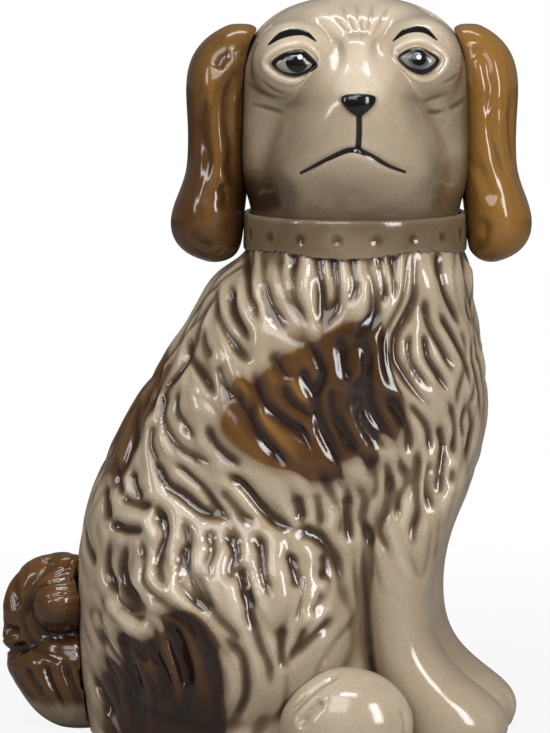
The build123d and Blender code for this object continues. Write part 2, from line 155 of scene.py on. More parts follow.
# Locks of the coat, from top to tip in photograph pixels. They are traced, but those of the neck that reach
# the collar are carried up to a row behind it.
COLLAR_PX = 250
NECK_LOCKS = (
    ((213, COLLAR_PX), (212, 300), (222, 327), (237, 350), (254, 368)),
    ((230, 288), (231, 311), (245, 336), (250, 345)),
    ((244, COLLAR_PX), (245, 288), (254, 311), (260, 327)),
    ((260, COLLAR_PX), (265, 297), (277, 318), (291, 331)),
    ((278, COLLAR_PX), (280, 286), (290, 310), (300, 324)),
    ((294, COLLAR_PX), (292, 292), (303, 315), (315, 328)),
    ((317, COLLAR_PX), (322, 288), (322, 313), (315, 328)),
    ((332, COLLAR_PX), (336, 288), (332, 309), (324, 323)),
    ((350, COLLAR_PX), (354, 286), (348, 306)),
    ((368, COLLAR_PX), (376, 288), (376, 311), (370, 325), (359, 338)),
    ((378, COLLAR_PX), (384, 282), (384, 311)),
    ((394, COLLAR_PX), (396, 286), (392, 306)),
    ((407, COLLAR_PX), (407, 288), (401, 309), (387, 332), (386, 357), (391, 380), (403, 399)),
    ((416, COLLAR_PX), (416, 292), (410, 311), (399, 334), (397, 355), (403, 372), (416, 392), (430, 409),
     (437, 422)),
    ((408, 332), (410, 359), (422, 380), (435, 395)),
    ((428, 332), (430, 357), (441, 376), (451, 395)),
    ((424, 298), (431, 326), (445, 351), (458, 380)),
    ((441, 313), (456, 336), (470, 365), (475, 395)),
    ((440, COLLAR_PX), (447, 290), (456, 312), (466, 335)),
    ((464, COLLAR_PX), (473, 300), (481, 330), (485, 365)),
)
BACK_LOCKS = (
    ((185, 336), (190, 357), (198, 369), (210, 388), (218, 397)),
    ((215, 363), (221, 383), (234, 402)),
    ((164, 388), (161, 411), (167, 431), (178, 447), (195, 458), (222, 466)),
    ((176, 388), (174, 408), (182, 423), (198, 444)),
    ((161, 357), (155, 380), (150, 403), (146, 423)),
    ((150, 423), (149, 446), (158, 469)),
    ((138, 398), (133, 418), (132, 441), (121, 464)),
    ((150, 455), (158, 470), (167, 485), (182, 495), (202, 510), (217, 516), (232, 522)),
    ((173, 462), (186, 474), (202, 489), (213, 505), (226, 514), (234, 522)),
    ((205, 425), (214, 444), (228, 458), (246, 470)),
    ((219, 489), (232, 503), (247, 518), (261, 524)),
    ((228, 474), (244, 487), (259, 506), (274, 520), (290, 527), (299, 528)),
    ((119, 497), (131, 503), (144, 506), (154, 504)),
    ((108, 524), (119, 528), (131, 529), (144, 528)),
    ((115, 464), (117, 485), (123, 497)),
    ((102, 485), (104, 506), (108, 524)),
    ((131, 470), (134, 488), (144, 500)),
    ((81, 526), (83, 545), (94, 568)),
    ((200, 330), (203, 346), (212, 360)),
)
HAUNCH_LOCKS = (
    ((106, 543), (104, 564), (110, 583), (119, 598), (136, 612), (146, 619)),
    ((138, 537), (142, 560), (140, 579), (150, 594), (167, 606), (182, 619)),
    ((122, 545), (121, 566), (127, 586), (142, 600)),
    ((156, 510), (163, 529), (158, 552), (159, 575), (171, 594)),
    ((184, 520), (188, 541), (180, 560), (182, 583), (198, 602), (211, 619)),
    ((208, 528), (212, 548), (206, 566), (210, 584)),
    ((194, 573), (202, 593), (213, 612), (219, 619)),
    ((228, 532), (234, 552), (230, 570), (236, 588)),
    ((240, 564), (247, 593), (253, 619)),
    ((258, 534), (262, 552), (263, 570), (268, 590), (272, 602)),
    ((290, 552), (297, 575), (297, 593)),
    ((326, 591), (316, 608), (311, 616)),
    ((299, 528), (316, 534), (328, 545), (337, 560), (341, 583)),
    ((326, 552), (328, 568), (322, 583)),
    ((113, 604), (130, 615), (145, 622)),
    ((158, 602), (180, 617), (195, 628), (206, 648), (213, 668), (221, 687), (224, 704)),
    ((119, 635), (135, 652), (152, 663)),
    ((98, 631), (110, 654), (124, 670), (134, 689), (135, 707)),
    ((148, 640), (156, 662), (164, 684), (166, 706)),
    ((171, 624), (176, 648), (184, 670), (187, 692), (191, 702)),
    ((208, 605), (221, 622), (235, 637), (244, 652)),
    ((224, 637), (241, 655), (246, 678), (245, 700), (235, 720), (228, 731)),
    ((246, 604), (254, 626), (261, 648), (270, 668), (270, 692)),
    ((283, 628), (282, 652), (283, 674)),
    ((306, 628), (300, 646), (288, 664)),
    ((335, 618), (319, 633), (302, 648), (294, 663)),
    ((91, 678), (100, 696), (113, 720)),
)
SHOULDER_LOCKS = (
    ((234, 388), (246, 413), (263, 437), (284, 462)),
    ((248, 395), (254, 422), (271, 449), (292, 466)),
    ((252, 372), (263, 399), (282, 418), (301, 434), (315, 457)),
    ((280, 384), (292, 403), (307, 413), (319, 426)),
    ((270, 352), (280, 370), (292, 384)),
    ((301, 369), (311, 390), (322, 399)),
    ((310, 342), (318, 358), (322, 374), (315, 399), (319, 422), (330, 445), (345, 468)),
    ((330, 388), (332, 414), (345, 437), (359, 453)),
    ((340, 340), (342, 362), (346, 384)),
    ((361, 376), (361, 403), (368, 426), (382, 445), (397, 458)),
    ((366, 340), (368, 357), (366, 384), (368, 407), (378, 426), (391, 445)),
)
CHEST_LOCKS = (
    ((389, 399), (403, 418), (410, 437), (407, 460)),
    ((410, 403), (430, 430), (431, 457)),
    ((439, 426), (445, 445), (441, 468)),
    ((454, 403), (458, 432), (451, 460)),
    ((472, 403), (475, 432), (466, 464)),
    ((298, 496), (302, 513), (301, 524)),
    ((318, 492), (321, 513), (321, 531)),
    ((321, 475), (333, 499), (343, 516), (340, 535), (333, 544)),
    ((347, 496), (349, 518), (350, 546)),
    ((358, 484), (364, 503), (361, 520), (370, 535), (372, 552)),
    ((371, 458), (377, 480), (375, 496), (370, 510)),
    ((387, 458), (391, 486), (387, 510), (378, 530), (387, 549), (398, 566)),
    ((401, 462), (406, 482), (396, 503), (399, 524)),
    ((420, 450), (416, 486), (420, 510), (415, 530), (417, 552)),
    ((434, 458), (429, 493), (433, 514)),
    ((445, 448), (441, 481), (440, 500)),
    ((456, 468), (453, 486)),
)
TAIL_LOCKS = (
    ((83, 577), (60, 578), (38, 585), (28, 602), (22, 620), (27, 638), (39, 650), (57, 656), (78, 656)),
    ((14, 573), (13, 592), (20, 613)),
    ((0, 626), (10, 631), (21, 632)),
    ((3, 663), (15, 651), (30, 644)),
    ((60, 545), (50, 552), (44, 562)),
    ((24, 668), (32, 684), (45, 700)),
    ((44, 662), (48, 680), (58, 702), (70, 720)),
    ((64, 662), (70, 682), (80, 704), (90, 722)),
    ((80, 668), (86, 690), (98, 716)),
)
RIGHT_EAR_FOLDS = (
    ((233, 78), (227, 102), (228, 126), (233, 149), (232, 168), (235, 186), (239, 202)),
    ((217, 68), (222, 57), (233, 53)),
    ((222, 184), (228, 197), (224, 213)),
    ((188, 234), (200, 246), (217, 249)),
    ((203, 96), (200, 128), (206, 158), (203, 186)),
)
LEFT_EAR_FOLDS = (
    ((468, 55), (479, 52), (487, 60), (490, 76), (493, 90), (489, 108), (488, 128)),
    ((512, 104), (513, 140), (516, 168)),
    ((476, 166), (488, 188), (491, 206)),
    ((472, 250), (482, 241), (484, 217)),
    ((497, 96), (494, 128), (503, 158), (509, 182)),
)
PAW_LOCKS = (
    ((339, 674), (319, 685), (300, 702), (283, 720)),
    ((322, 700), (308, 712), (298, 728)),
)

# Top of the haunch under the coat of the back, and how far the haunch swells out below it
HAUNCH_TOP = ((100, 500), (160, 512), (230, 522), (300, 528), (345, 556))
HAUNCH_LEDGE = 3.5 * MM
HAUNCH_REAR_PX = (110, 170)
HAUNCH_FRONT_PX = (310, 345)
LEDGE_RISE_PX = (-4, 26)
LEDGE_FALL_PX = (50, 130)

# Brown patches of the coat, outlined in photograph pixels
SHOULDER_PATCH = (
    (210, 425), (251, 370), (309, 332), (356, 313), (381, 340), (397, 394),
    (395, 425), (379, 454), (347, 473), (316, 476), (279, 480), (237, 461),
)
HAUNCH_PATCH = (
    (108, 669), (128, 636), (157, 623), (179, 618), (199, 623), (216, 643),
    (232, 669), (236, 702), (232, 760), (160, 764), (116, 745), (108, 700),
)
SPINE_PATCH = ((165, 352), (172, 380), (150, 420), (122, 466), (96, 474), (112, 420), (136, 370))

# How thick the brown lies on each patch to the left and the right, where that turns, and the patches' edges
BROWN_PATCHES = ((SHOULDER_PATCH, 0.15, 0.8), (HAUNCH_PATCH, 0.9, 0.9), (SPINE_PATCH, 0.1, 0.1))
PATCH_TURN_PX = (285, 350)
PATCH_STREAK_PX = 9
PATCH_BLUR_PX = 9

# The painted face, in photograph pixels
BROW_SWELLINGS = ((294, 61), (421, 57))
BROW_RADIUS_PX = 46
# Painted shade at the left jaw and painted light at the stop between the eyes: their middles and reaches
JAW_SHADE = (258, 194)
JAW_SHADE_REACH_PX = (52, 30)
STOP_LIGHT = (360, 82)
STOP_LIGHT_REACH_PX = (46, 50)
RIGHT_EYE = ((271, 63), (283, 53), (295, 50), (305, 51), (318, 65), (309, 73), (295, 77), (281, 73))
RIGHT_EYE_WHITE = ((276, 64), (285, 59), (296, 57), (305, 59), (312, 65), (306, 70), (295, 73), (283, 71))
RIGHT_PUPIL = (297, 61)
RIGHT_PUPIL_RADIUS_PX = 11.5
LEFT_EYE = ((397, 58), (406, 50), (418, 47), (429, 51), (440, 60), (432, 71), (421, 75), (407, 69))
LEFT_EYE_WHITE = ((400, 58), (408, 53), (418, 50), (428, 54), (436, 60), (429, 67), (420, 69), (409, 66))
LEFT_PUPIL = (419, 58)
LEFT_PUPIL_RADIUS_PX = 8
LEFT_IRIS_RADIUS_PX = 11
# Painted highlight: a white dot in each pupil that stands for the lamp's reflection in the glaze
RIGHT_GLINT = (300, 57)
LEFT_GLINT = (419, 57)
GLINT_RADIUS_PX = 2.5
PAINT_BLUR_PX = 3
GLINT_BLUR_PX = 2
RIGHT_BROW = ((268, 45), (280, 36), (293, 32), (305, 33), (316, 41))
LEFT_BROW = ((393, 41), (404, 32), (415, 29), (426, 31), (437, 40))
NOSE = (
    (341, 97), (350, 94), (367, 94), (376, 97), (374, 105),
    (366, 113), (359, 117), (351, 113), (343, 105),
)
MOUTH_LINES = (
    ((359, 114), (359, 133), (358, 151)),
    ((358, 150), (346, 151), (326, 160), (301, 173)),
    ((358, 150), (373, 157), (389, 166), (405, 172)),
)
CHEEK_STROKES = (
    ((250, 84), (262, 92), (276, 98)),
    ((262, 78), (274, 88), (289, 93)),
    ((254, 104), (268, 108), (282, 112)),
    ((424, 100), (436, 97), (448, 93)),
    ((428, 112), (436, 112), (444, 110)),
    ((437, 84), (446, 80), (457, 74)),
    ((450, 108), (458, 104), (464, 98)),
)
FOREHEAD_STROKES = (
    ((342, 8), (350, 22), (356, 36)),
    ((356, 6), (360, 22), (362, 38)),
    ((372, 6), (370, 20), (366, 36)),
    ((388, 8), (380, 22), (372, 36)),
    ((330, 14), (342, 26), (352, 38)),
)

# Brush strokes of the face, half as wide as the paint in photograph pixels, at their middle and at their ends
RIGHT_BROW_BRUSH_PX = (4.0, 0.8)
LEFT_BROW_BRUSH_PX = (3.4, 0.8)
PHILTRUM_BRUSH_PX = (3.0, 2.9)
WASH_BRUSH_PX = (0.8, 0.0)
LIP_START_PX = 3.0
LIP_TAPER_PX = 1.5

# Relief of the face
BROW_HEIGHT = 2.0 * MM
BROW_FOLD = 0.9 * MM
EYEBALL_HEIGHT = 1.1 * MM
EYE_RIM_DEPTH = 0.5 * MM
EYELID_HEIGHT = 0.5 * MM
NOSE_HEIGHT = 1.2 * MM
MOUTH_DEPTH = 0.7 * MM
STROKE_DEPTH = 0.45 * MM

# Heights over the neck joint over which painted shade at the chin fades out, and over which painted light grows
# towards the crown
CHIN_SHADE_HEIGHTS = (8.0 * MM, 30.0 * MM)
CROWN_LIGHT_HEIGHTS = (45.0 * MM, 75.0 * MM)

# Heights on the tail where brown covers the foot's cream and where the brown turns paler towards the curl
TAIL_BROWN_HEIGHTS = (4.0 * MM, 22.0 * MM)
TAIL_PALER_HEIGHTS = (35.0 * MM, 55.0 * MM)

# The stage: half the floor's side, and each soft box's place, size and power over its setting
FLOOR_REACH = 4.0
KEY_BOX = ((-0.25, -0.9, 0.8), (0.7, 0.6), 1.0)
CROWN_BOX = ((0.0, 0.3, 1.2), (0.8, 0.12), 0.65)
BROW_BOX = ((0.05, -0.62, 1.1), (0.45, 0.16), 0.95)
RUMP_BOX = ((-0.9, -0.6, 0.55), (0.12, 0.5), 0.5)
CHEST_BOX = ((0.8, -0.75, 0.5), (0.3, 0.7), 2.2)


# Settings

def colour(name, text, default):
    """A colour setting, given as an sRGB hex value."""
    return FloatVectorProperty(name=name, description=text, subtype="COLOR", size=3, default=linear(default))


def linear(hex_value):
    """The linear colour of an sRGB hex value."""
    channels = [int(hex_value[place:place + 2], 16) / 255 for place in (1, 3, 5)]
    return [c / 12.92 if c <= 0.04045 else ((c + 0.055) / 1.055) ** 2.4 for c in channels]


class SpanielStage(bpy.types.PropertyGroup):
    camera_azimuth: FloatProperty(
        name="Camera azimuth", description="How far the camera stands round to the chest side",
        default=radians(7), subtype="ANGLE")
    camera_distance: FloatProperty(
        name="Camera distance", description="From the figure to the camera along the floor",
        default=1.8, unit="LENGTH")
    camera_height: FloatProperty(
        name="Camera height", description="Height of the lens over the floor",
        default=0.342, unit="LENGTH")
    key_power: FloatProperty(
        name="Key light", description="Power of the large soft box in front", default=6.5, unit="POWER")
    strip_power: FloatProperty(
        name="Strip lights", description="Power of each narrow soft box that the glaze mirrors",
        default=4.5, unit="POWER")
    room_light: FloatProperty(
        name="Room light", description="Strength of the light from all round", default=0.17)
    floor_colour: colour("Floor", "Colour of the plain floor", "#8F8E8C")


class SpanielCoat(bpy.types.PropertyGroup):
    body_net: FloatProperty(
        name="Body net", description="Width of a mesh of the net over the body",
        default=0.78 * MM, unit="LENGTH", precision=5)
    head_net: FloatProperty(
        name="Head net", description="Width of a mesh of the net over the head and the small pieces",
        default=0.56 * MM, unit="LENGTH", precision=5)
    softening: IntProperty(
        name="Softening", description="Rounds of smoothing where pieces meet", default=14)
    groove_depth: FloatProperty(
        name="Groove depth", description="Depth of the drawn grooves between locks",
        default=2.4 * MM, unit="LENGTH", precision=5)
    groove_width: FloatProperty(
        name="Groove width", description="Half width of the crease in a drawn groove",
        default=1.4 * MM, unit="LENGTH", precision=5)
    lock_height: FloatProperty(
        name="Lock height", description="How far locks roll down to their creases",
        default=0.7 * MM, unit="LENGTH", precision=5)
    crease_depth: FloatProperty(
        name="Crease depth", description="Depth of the creases between locks",
        default=0.3 * MM, unit="LENGTH", precision=5)


class SpanielGlaze(bpy.types.PropertyGroup):
    # The cream tones also carry painted light and shade: pale on the crown and stop of the face, umber and the
    # darkest tone in broad hollows and on the cheeks, chin and jaw
    cream: colour("Cream", "Cream glaze over the body", "#9A8A74")
    pale: colour("Pale cream", "Cream glaze where it runs thin on ridges", "#B7A994")
    umber: colour("Umber", "Cream glaze where it lies deep in grooves", "#604F3B")
    pooled_and_shaded: colour("Pooled cream", "Cream glaze where it pools in the deepest grooves", "#35271A")
    gold: colour("Gold", "Brown glaze where it runs thin", "#7D5927")
    treacle: colour("Treacle", "Brown glaze at its usual depth", "#4B3016")
    burnt: colour("Burnt brown", "Brown glaze where it pools", "#20110A")
    enamel: colour("Black enamel", "Black of the painted features", "#0B0908")
    eye_white: colour("Eye white", "Grey-green white of the eyes", "#74756A")
    iris: colour("Iris", "Grey-blue ring round the left pupil", "#4A4D55")
    # Painted highlight: the white dot stands for the lamp's reflection in each pupil
    glint: colour("Glint", "White dot painted in each pupil", "#D9DBDD")
    clay: colour("Bare clay", "Fired clay without glaze", "#C9B394")
    sand: colour("Sand", "Darker grains of the fired clay", "#A8957A")


# Photograph and clay

def photo_camera():
    """The camera's place as a matrix, and its focal length in photograph pixels."""
    camera = bpy.context.scene.camera
    return camera.matrix_world, camera.data.lens / SENSOR * PHOTO_HEIGHT_PX


def photo_ray(pixel):
    """Where a pixel's line of sight starts and where it goes."""
    matrix, focal = photo_camera()
    across = pixel[0] - PHOTO_WIDTH_PX / 2
    down = pixel[1] - PHOTO_HEIGHT_PX / 2
    return matrix.translation, (matrix.to_3x3() @ Vector((across, -down, -focal))).normalized()


def photo_places(points):
    """The photograph pixels of points in space."""
    matrix, focal = photo_camera()
    inverse = np.array(matrix.inverted())
    local = points @ inverse[:3, :3].T + inverse[:3, 3]
    across = PHOTO_WIDTH_PX / 2 - local[:, 0] / local[:, 2] * focal
    down = PHOTO_HEIGHT_PX / 2 + local[:, 1] / local[:, 2] * focal
    return np.stack([across, down], axis=1)


def flowing(corners, spacing, ring=False):
    """A smooth line through a few corners, or a closed ring of them, as points at about the given spacing."""
    corners = np.array(corners, float)
    if ring:
        guides = np.vstack([corners[-1:], corners, corners[:2]])
    else:
        guides = np.vstack([2 * corners[0] - corners[1], corners, 2 * corners[-1] - corners[-2]])
    runs = []
    for before, start, end, after in zip(guides, guides[1:], guides[2:], guides[3:]):
        steps = max(2, int(np.linalg.norm(end - start) / spacing))
        t = np.arange(steps)[:, None] / steps
        bend = 2 * before - 5 * start + 4 * end - after
        twist = 3 * start - before - 3 * end + after
        runs.append((2 * start + (end - before) * t + bend * t ** 2 + twist * t ** 3) / 2)
    return np.vstack([*runs, guides[-2:-1]])


def line_distance(points, line):
    """Each point's distance to a line of points, and how far along the line it lies, from 0 to 1."""
    nearest = np.full(len(points), np.inf)
    along = np.zeros(len(points))
    count = len(line) - 1
    for index in range(count):
        start = line[index]
        step = line[index + 1] - start
        length = max(step @ step, 1e-12)
        share = np.clip((points - start) @ step / length, 0, 1)
        distance = np.linalg.norm(points - start - share[:, None] * step, axis=1)
        closer = distance < nearest
        nearest[closer] = distance[closer]
        along[closer] = (index + share[closer]) / count
    return nearest, along


def inside_depth(points, corners):
    """How deep each point lies inside a smooth outline, negative outside."""
    ring = flowing(corners, 3, ring=True)
    distance, _ = line_distance(points, ring)
    inside = np.zeros(len(points), bool)
    for start, end in zip(ring, ring[1:]):
        crosses = (start[1] > points[:, 1]) != (end[1] > points[:, 1])
        rise = end[1] - start[1]
        edge_x = start[0] + (points[:, 1] - start[1]) * (end[0] - start[0]) / (rise if rise else 1e-9)
        inside ^= crosses & (points[:, 0] < edge_x)
    return np.where(inside, distance, -distance)


def line_depth(points, corners, middle_px, end_px):
    """How deep each point lies inside a brush stroke that tapers from its middle to its ends."""
    distance, along = line_distance(points, flowing(corners, 2))
    radius = end_px + (middle_px - end_px) * np.sin(pi * along)
    return radius - distance


def paint(depth, blur_px):
    """Paint cover from 0 to 1, one half at the edge."""
    return np.clip(0.5 + depth / (2 * blur_px), 0, 1)


def swell(values, low, high):
    """A smooth step from 0 at low to 1 at high."""
    share = np.clip((values - low) / (high - low), 0, 1)
    return share * share * (3 - 2 * share)


class Clay:
    """A piece in the modeller's hands: its net's points, normals and edges as arrays."""

    def __init__(self, mesh):
        self.mesh = mesh
        self.points = np.empty((len(mesh.vertices), 3), np.float32)
        mesh.vertices.foreach_get("co", self.points.ravel())
        self.points = self.points.astype(float)
        edges = np.empty(2 * len(mesh.edges), np.int32)
        mesh.edges.foreach_get("vertices", edges)
        self.edges = edges.reshape(-1, 2)
        self.degree = np.bincount(edges, minlength=len(self.points))
        self.settle()

    def settle(self):
        """Writes the points back to the mesh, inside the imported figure's box, and reads the new normals."""
        self.points = np.clip(self.points, CAD_BOX[0], CAD_BOX[1])
        self.mesh.vertices.foreach_set("co", self.points.astype(np.float32).ravel())
        self.mesh.update()
        normals = np.empty(3 * len(self.points), np.float32)
        self.mesh.vertex_normals.foreach_get("vector", normals)
        self.normals = normals.reshape(-1, 3).astype(float)

    def push(self, distance):
        """Moves the surface out, or in where negative."""
        self.points += self.normals * distance[:, None]
        self.settle()

    def averaged(self, values, rounds):
        """Values of the points, each round averaged with their neighbours."""
        values = values.copy()
        start, end = self.edges.T
        count = len(self.points)
        for _ in range(rounds):
            for column in range(values.shape[1]):
                total = np.bincount(start, values[end, column], count)
                total += np.bincount(end, values[start, column], count)
                values[:, column] = (values[:, column] + total / self.degree) / 2
        return values

    def soften(self, rounds, share=None):
        """Smooths the surface, in full or by a share for each point."""
        smooth = self.averaged(self.points, rounds)
        weight = 1 if share is None else share[:, None]
        self.points += (smooth - self.points) * weight
        self.settle()

    def hollowness(self, rounds, reach):
        """How far each point lies below its smoothed surroundings: 1 at the given reach, -1 on ridges."""
        smooth = self.averaged(self.points, rounds)
        depth = np.einsum("ij,ij->i", smooth - self.points, self.normals)
        return np.clip(depth / reach, -1, 1)

    def mark(self, name, values):
        """Keeps a value for each point under a name that the glaze reads."""
        self.mesh.attributes.new(name, "FLOAT", "POINT").data.foreach_set("value", values.astype(np.float32))

    def fill_out(self, fullness, way):
        """Fills the outline out along X at a height."""
        reach, height, spread = fullness
        facing = np.clip(way * self.normals[:, 0], 0, 1)
        self.points[:, 0] += way * reach * facing * np.exp(-((self.points[:, 2] - height) / spread) ** 2)
        self.settle()

    def tree(self):
        """The surface as a tree for lines of sight."""
        shape = bmesh.new()
        shape.from_mesh(self.mesh)
        found = BVHTree.FromBMesh(shape)
        shape.free()
        return found


def net_over(name, nodes, width, plugs=()):
    """An even net over copies of clay pieces, with plugs that close their hollows."""
    shape = bmesh.new()
    for node in nodes:
        shape.from_mesh(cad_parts[node].data)
    bmesh.ops.remove_doubles(shape, verts=shape.verts, dist=0.001 * MM)
    for plug in plugs:
        plug(shape)
    rough = bpy.data.meshes.new(name + "_rough")
    shape.to_mesh(rough)
    shape.free()
    holder = bpy.data.objects.new(name + "_rough", rough)
    bpy.context.collection.objects.link(holder)
    remesh = holder.modifiers.new("net", "REMESH")
    remesh.mode = "VOXEL"
    remesh.voxel_size = width
    bpy.context.view_layer.update()
    finished = holder.evaluated_get(bpy.context.evaluated_depsgraph_get())
    mesh = bpy.data.meshes.new_from_object(finished)
    bpy.data.objects.remove(holder)
    bpy.data.meshes.remove(rough)
    mesh.name = name
    return mesh


def neck_plug(low, high):
    """A plug across the open neck between two heights."""
    def add(shape):
        place = Matrix.Translation((NECK_AXIS.x, NECK_AXIS.y, (low + high) / 2))
        radius = NECK_RADIUS - WALL / 2
        bmesh.ops.create_cone(
            shape, cap_ends=True, segments=64, radius1=radius, radius2=radius, depth=high - low, matrix=place)
    return add


def slab_plug(shape):
    """A copy of the slab set above it, let into the walls, that leaves a recess for the slab."""
    before = set(shape.verts)
    shape.from_mesh(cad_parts["base_slab"].data)
    added = [vert for vert in shape.verts if vert not in before]
    bmesh.ops.remove_doubles(shape, verts=added, dist=0.001 * MM)
    added = [vert for vert in shape.verts if vert not in before]
    middle = (SLAB[0] + SLAB[1]) / 2
    size = SLAB[1] - SLAB[0]
    grow = Vector(((size.x + WALL) / size.x, (size.y + WALL) / size.y, 1))
    space = Matrix.Translation((-middle.x, -middle.y, 0))
    bmesh.ops.scale(shape, vec=grow, verts=added, space=space)
    bmesh.ops.translate(shape, vec=(0, 0, size.z), verts=added)


def vent_cup(shape):
    """A cup over the vent that shuts the hollow off and leaves the vent a dark blind hole."""
    low = SLAB[1].z - MM
    high = low + VENT_DEPTH
    lip = VENT_RADIUS + WALL
    inside = ((0, high), (VENT_RADIUS, high), (VENT_RADIUS, low))
    outside = ((lip, low), (lip, high + WALL), (0, high + WALL))
    profile = [(VENT_PLACE.x + radius, VENT_PLACE.y, height) for radius, height in inside + outside]
    verts = [shape.verts.new(place) for place in profile]
    edges = [shape.edges.new(pair) for pair in zip(verts, verts[1:])]
    spun = bmesh.ops.spin(
        shape, geom=verts + edges, cent=(VENT_PLACE.x, VENT_PLACE.y, low), axis=(0, 0, 1),
        angle=2 * pi, steps=32, use_merge=True)
    made = {vert for vert in spun["geom_last"] if isinstance(vert, bmesh.types.BMVert)} | set(verts)
    wall = [vert for vert in shape.verts if vert in made or abs(vert.co.z - high) < 1e-7]
    bmesh.ops.remove_doubles(shape, verts=wall, dist=0.01 * MM)


def laid_on(tree, pixels):
    """A line drawn in the photograph, laid on a surface; places that miss it are left out."""
    hits = [tree.ray_cast(*photo_ray(pixel))[0] for pixel in pixels]
    return np.array([hit for hit in hits if hit is not None])


def mirrored(line):
    """A line on the near side laid on the far side."""
    return line * (1, -1, 1) + (0, 2 * SEAM_Y, 0)


def groove(clay, carved, line, depth, width):
    """Adds one groove, a fine crease in a broad valley, to the depth carved so far."""
    reach = 6 * width
    near = np.all((clay.points > line.min(0) - reach) & (clay.points < line.max(0) + reach), axis=1)
    spots = np.where(near)[0]
    distance, along = line_distance(clay.points[spots], line)
    taper = swell(along, -0.1, 0.15) * swell(1 - along, -0.05, 0.3)
    crease = np.exp(-(distance / width) ** 2)
    valley = np.exp(-(distance / (GROOVE_VALLEY * width)) ** 2)
    section = GROOVE_CREASE * crease + (1 - GROOVE_CREASE) * valley
    carved[spots] = np.maximum(carved[spots], depth * taper * section)


def drawn_locks(clay, strokes, both_sides=False):
    """The strokes of the photograph as lines on a piece, on its far side too where asked."""
    tree = clay.tree()
    lines = [laid_on(tree, flowing(stroke, 3)) for stroke in strokes]
    lines = [line for line in lines if len(line) > 2]
    if both_sides:
        lines += [mirrored(line) for line in lines]
    return lines


def comb(clay, lines, depth, width, rng):
    """How deep grooves along lines carve a piece."""
    carved = np.zeros(len(clay.points))
    for line in lines:
        groove(clay, carved, line, depth * rng.uniform(0.7, 1.1), width)
    return carved


def flow_of(clay, lines):
    """The way the coat runs at each point, and how far the point lies within the coat."""
    places = np.vstack(lines)
    tangents = np.vstack([np.gradient(line, axis=0) for line in lines])
    tangents /= np.maximum(np.linalg.norm(tangents, axis=1), 1e-9)[:, None]
    tree = point_tree(places)
    found = [tree.find(point) for point in clay.points]
    cover = 1 - swell(np.array([distance for _, _, distance in found]), COAT_REACH / 2, COAT_REACH)
    flow = clay.averaged(tangents[[index for _, index, _ in found]], FLOW_SOFTENING)
    flow -= clay.normals * np.einsum("ij,ij->i", flow, clay.normals)[:, None]
    return flow / np.maximum(np.linalg.norm(flow, axis=1), 1e-9)[:, None], cover


def point_tree(points):
    """A tree that finds the nearest of some points."""
    tree = KDTree(len(points))
    for index, point in enumerate(points):
        tree.insert(point, index)
    tree.balance()
    return tree


def locks(clay, lines, breadth, rng):
    """A value that changes sign from lock to lock, and how far each point lies within the coat."""
    flow, cover = flow_of(clay, lines)
    tree = point_tree(clay.points)
    noise = clay.averaged(rng.standard_normal((len(clay.points), 1)), breadth)[:, 0]
    values = noise.copy()
    for way in (1, -1):
        step = np.array([tree.find(place)[1] for place in clay.points + way * LOCK_HOP * flow])
        spot = np.arange(len(step))
        for hop in range(1, LOCK_HOPS):
            spot = step[spot]
            values += noise[spot] * cos(pi / 2 * hop / LOCK_HOPS) ** 2
    values = clay.averaged(values[:, None], LOCK_SMOOTHING)[:, 0]
    return values / values.std(), cover


def rolled(values, height, crease):
    """The relief of locks: rolls, level at their crests, parted by creases where the values change sign."""
    return height * (np.tanh(1.3 * np.abs(values)) - 1) - crease * np.exp(-(values / 0.35) ** 2)


def end_locks(clay, rng, facing, top, bottom, spread, count):
    """Wavy locks down the chest or the spine, which the photograph shows only edge on."""
    tree = clay.tree()
    lines = []
    for index in range(count):
        start_y = SEAM_Y + spread * (2 * (index + 0.5) / count - 1) + rng.uniform(-1, 1) * LOCK_JITTER
        high = top - rng.uniform(0, 0.5) * (top - bottom)
        low = max(bottom, high - rng.uniform(0.3, 0.5) * (top - bottom))
        phase = rng.uniform(0, 2 * pi)
        hits = []
        for share in np.linspace(0, 1, END_LOCK_POINTS):
            sway = LOCK_SWAY * sin(phase + 2 * pi * share)
            origin = Vector((facing, start_y + sway, high + (low - high) * share))
            hits.append(tree.ray_cast(origin, Vector((-facing, 0, 0)))[0])
        lines.append(np.array([hit for hit in hits if hit is not None]))
    return [line for line in lines if len(line) > 2]


def finish_piece(name, mesh, material, slot, *nodes):
    """A mesh as a finished piece that stands for its clay pieces."""
    mesh.materials.clear()
    mesh.materials.append(material)
    mesh.shade_smooth()
    piece = bpy.data.objects.new(name, mesh)
    bpy.context.collection.objects.link(piece)
    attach(piece, "root")
    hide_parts(*nodes)
    return piece


def half_of(mesh, name, point, normal):
    """The half of a mesh that a normal points to, closed where it is cut."""
    shape = bmesh.new()
    shape.from_mesh(mesh)
    everything = [*shape.verts, *shape.edges, *shape.faces]
    bmesh.ops.bisect_plane(shape, geom=everything, plane_co=point, plane_no=normal, clear_inner=True)
    rim = [edge for edge in shape.edges if edge.is_boundary]
    bmesh.ops.holes_fill(shape, edges=rim, sides=0)
    for edge in rim:
        edge.smooth = False
    half = bpy.data.meshes.new(name)
    shape.to_mesh(half)
    shape.free()
    return half


# Finishes

def add_node(tree, kind, inputs, output=0, **settings):
    """Adds a node with its settings and its input values or links, and gives one of its outputs."""
    node = tree.nodes.new(kind)
    for name, value in settings.items():
        setattr(node, name, value)
    for socket, value in inputs.items():
        if isinstance(value, bpy.types.NodeSocket):
            tree.links.new(value, node.inputs[socket])
        else:
            node.inputs[socket].default_value = value
    return node.outputs[output]


def opaque(rgb):
    """A colour with its alpha."""
    return (*rgb, 1)


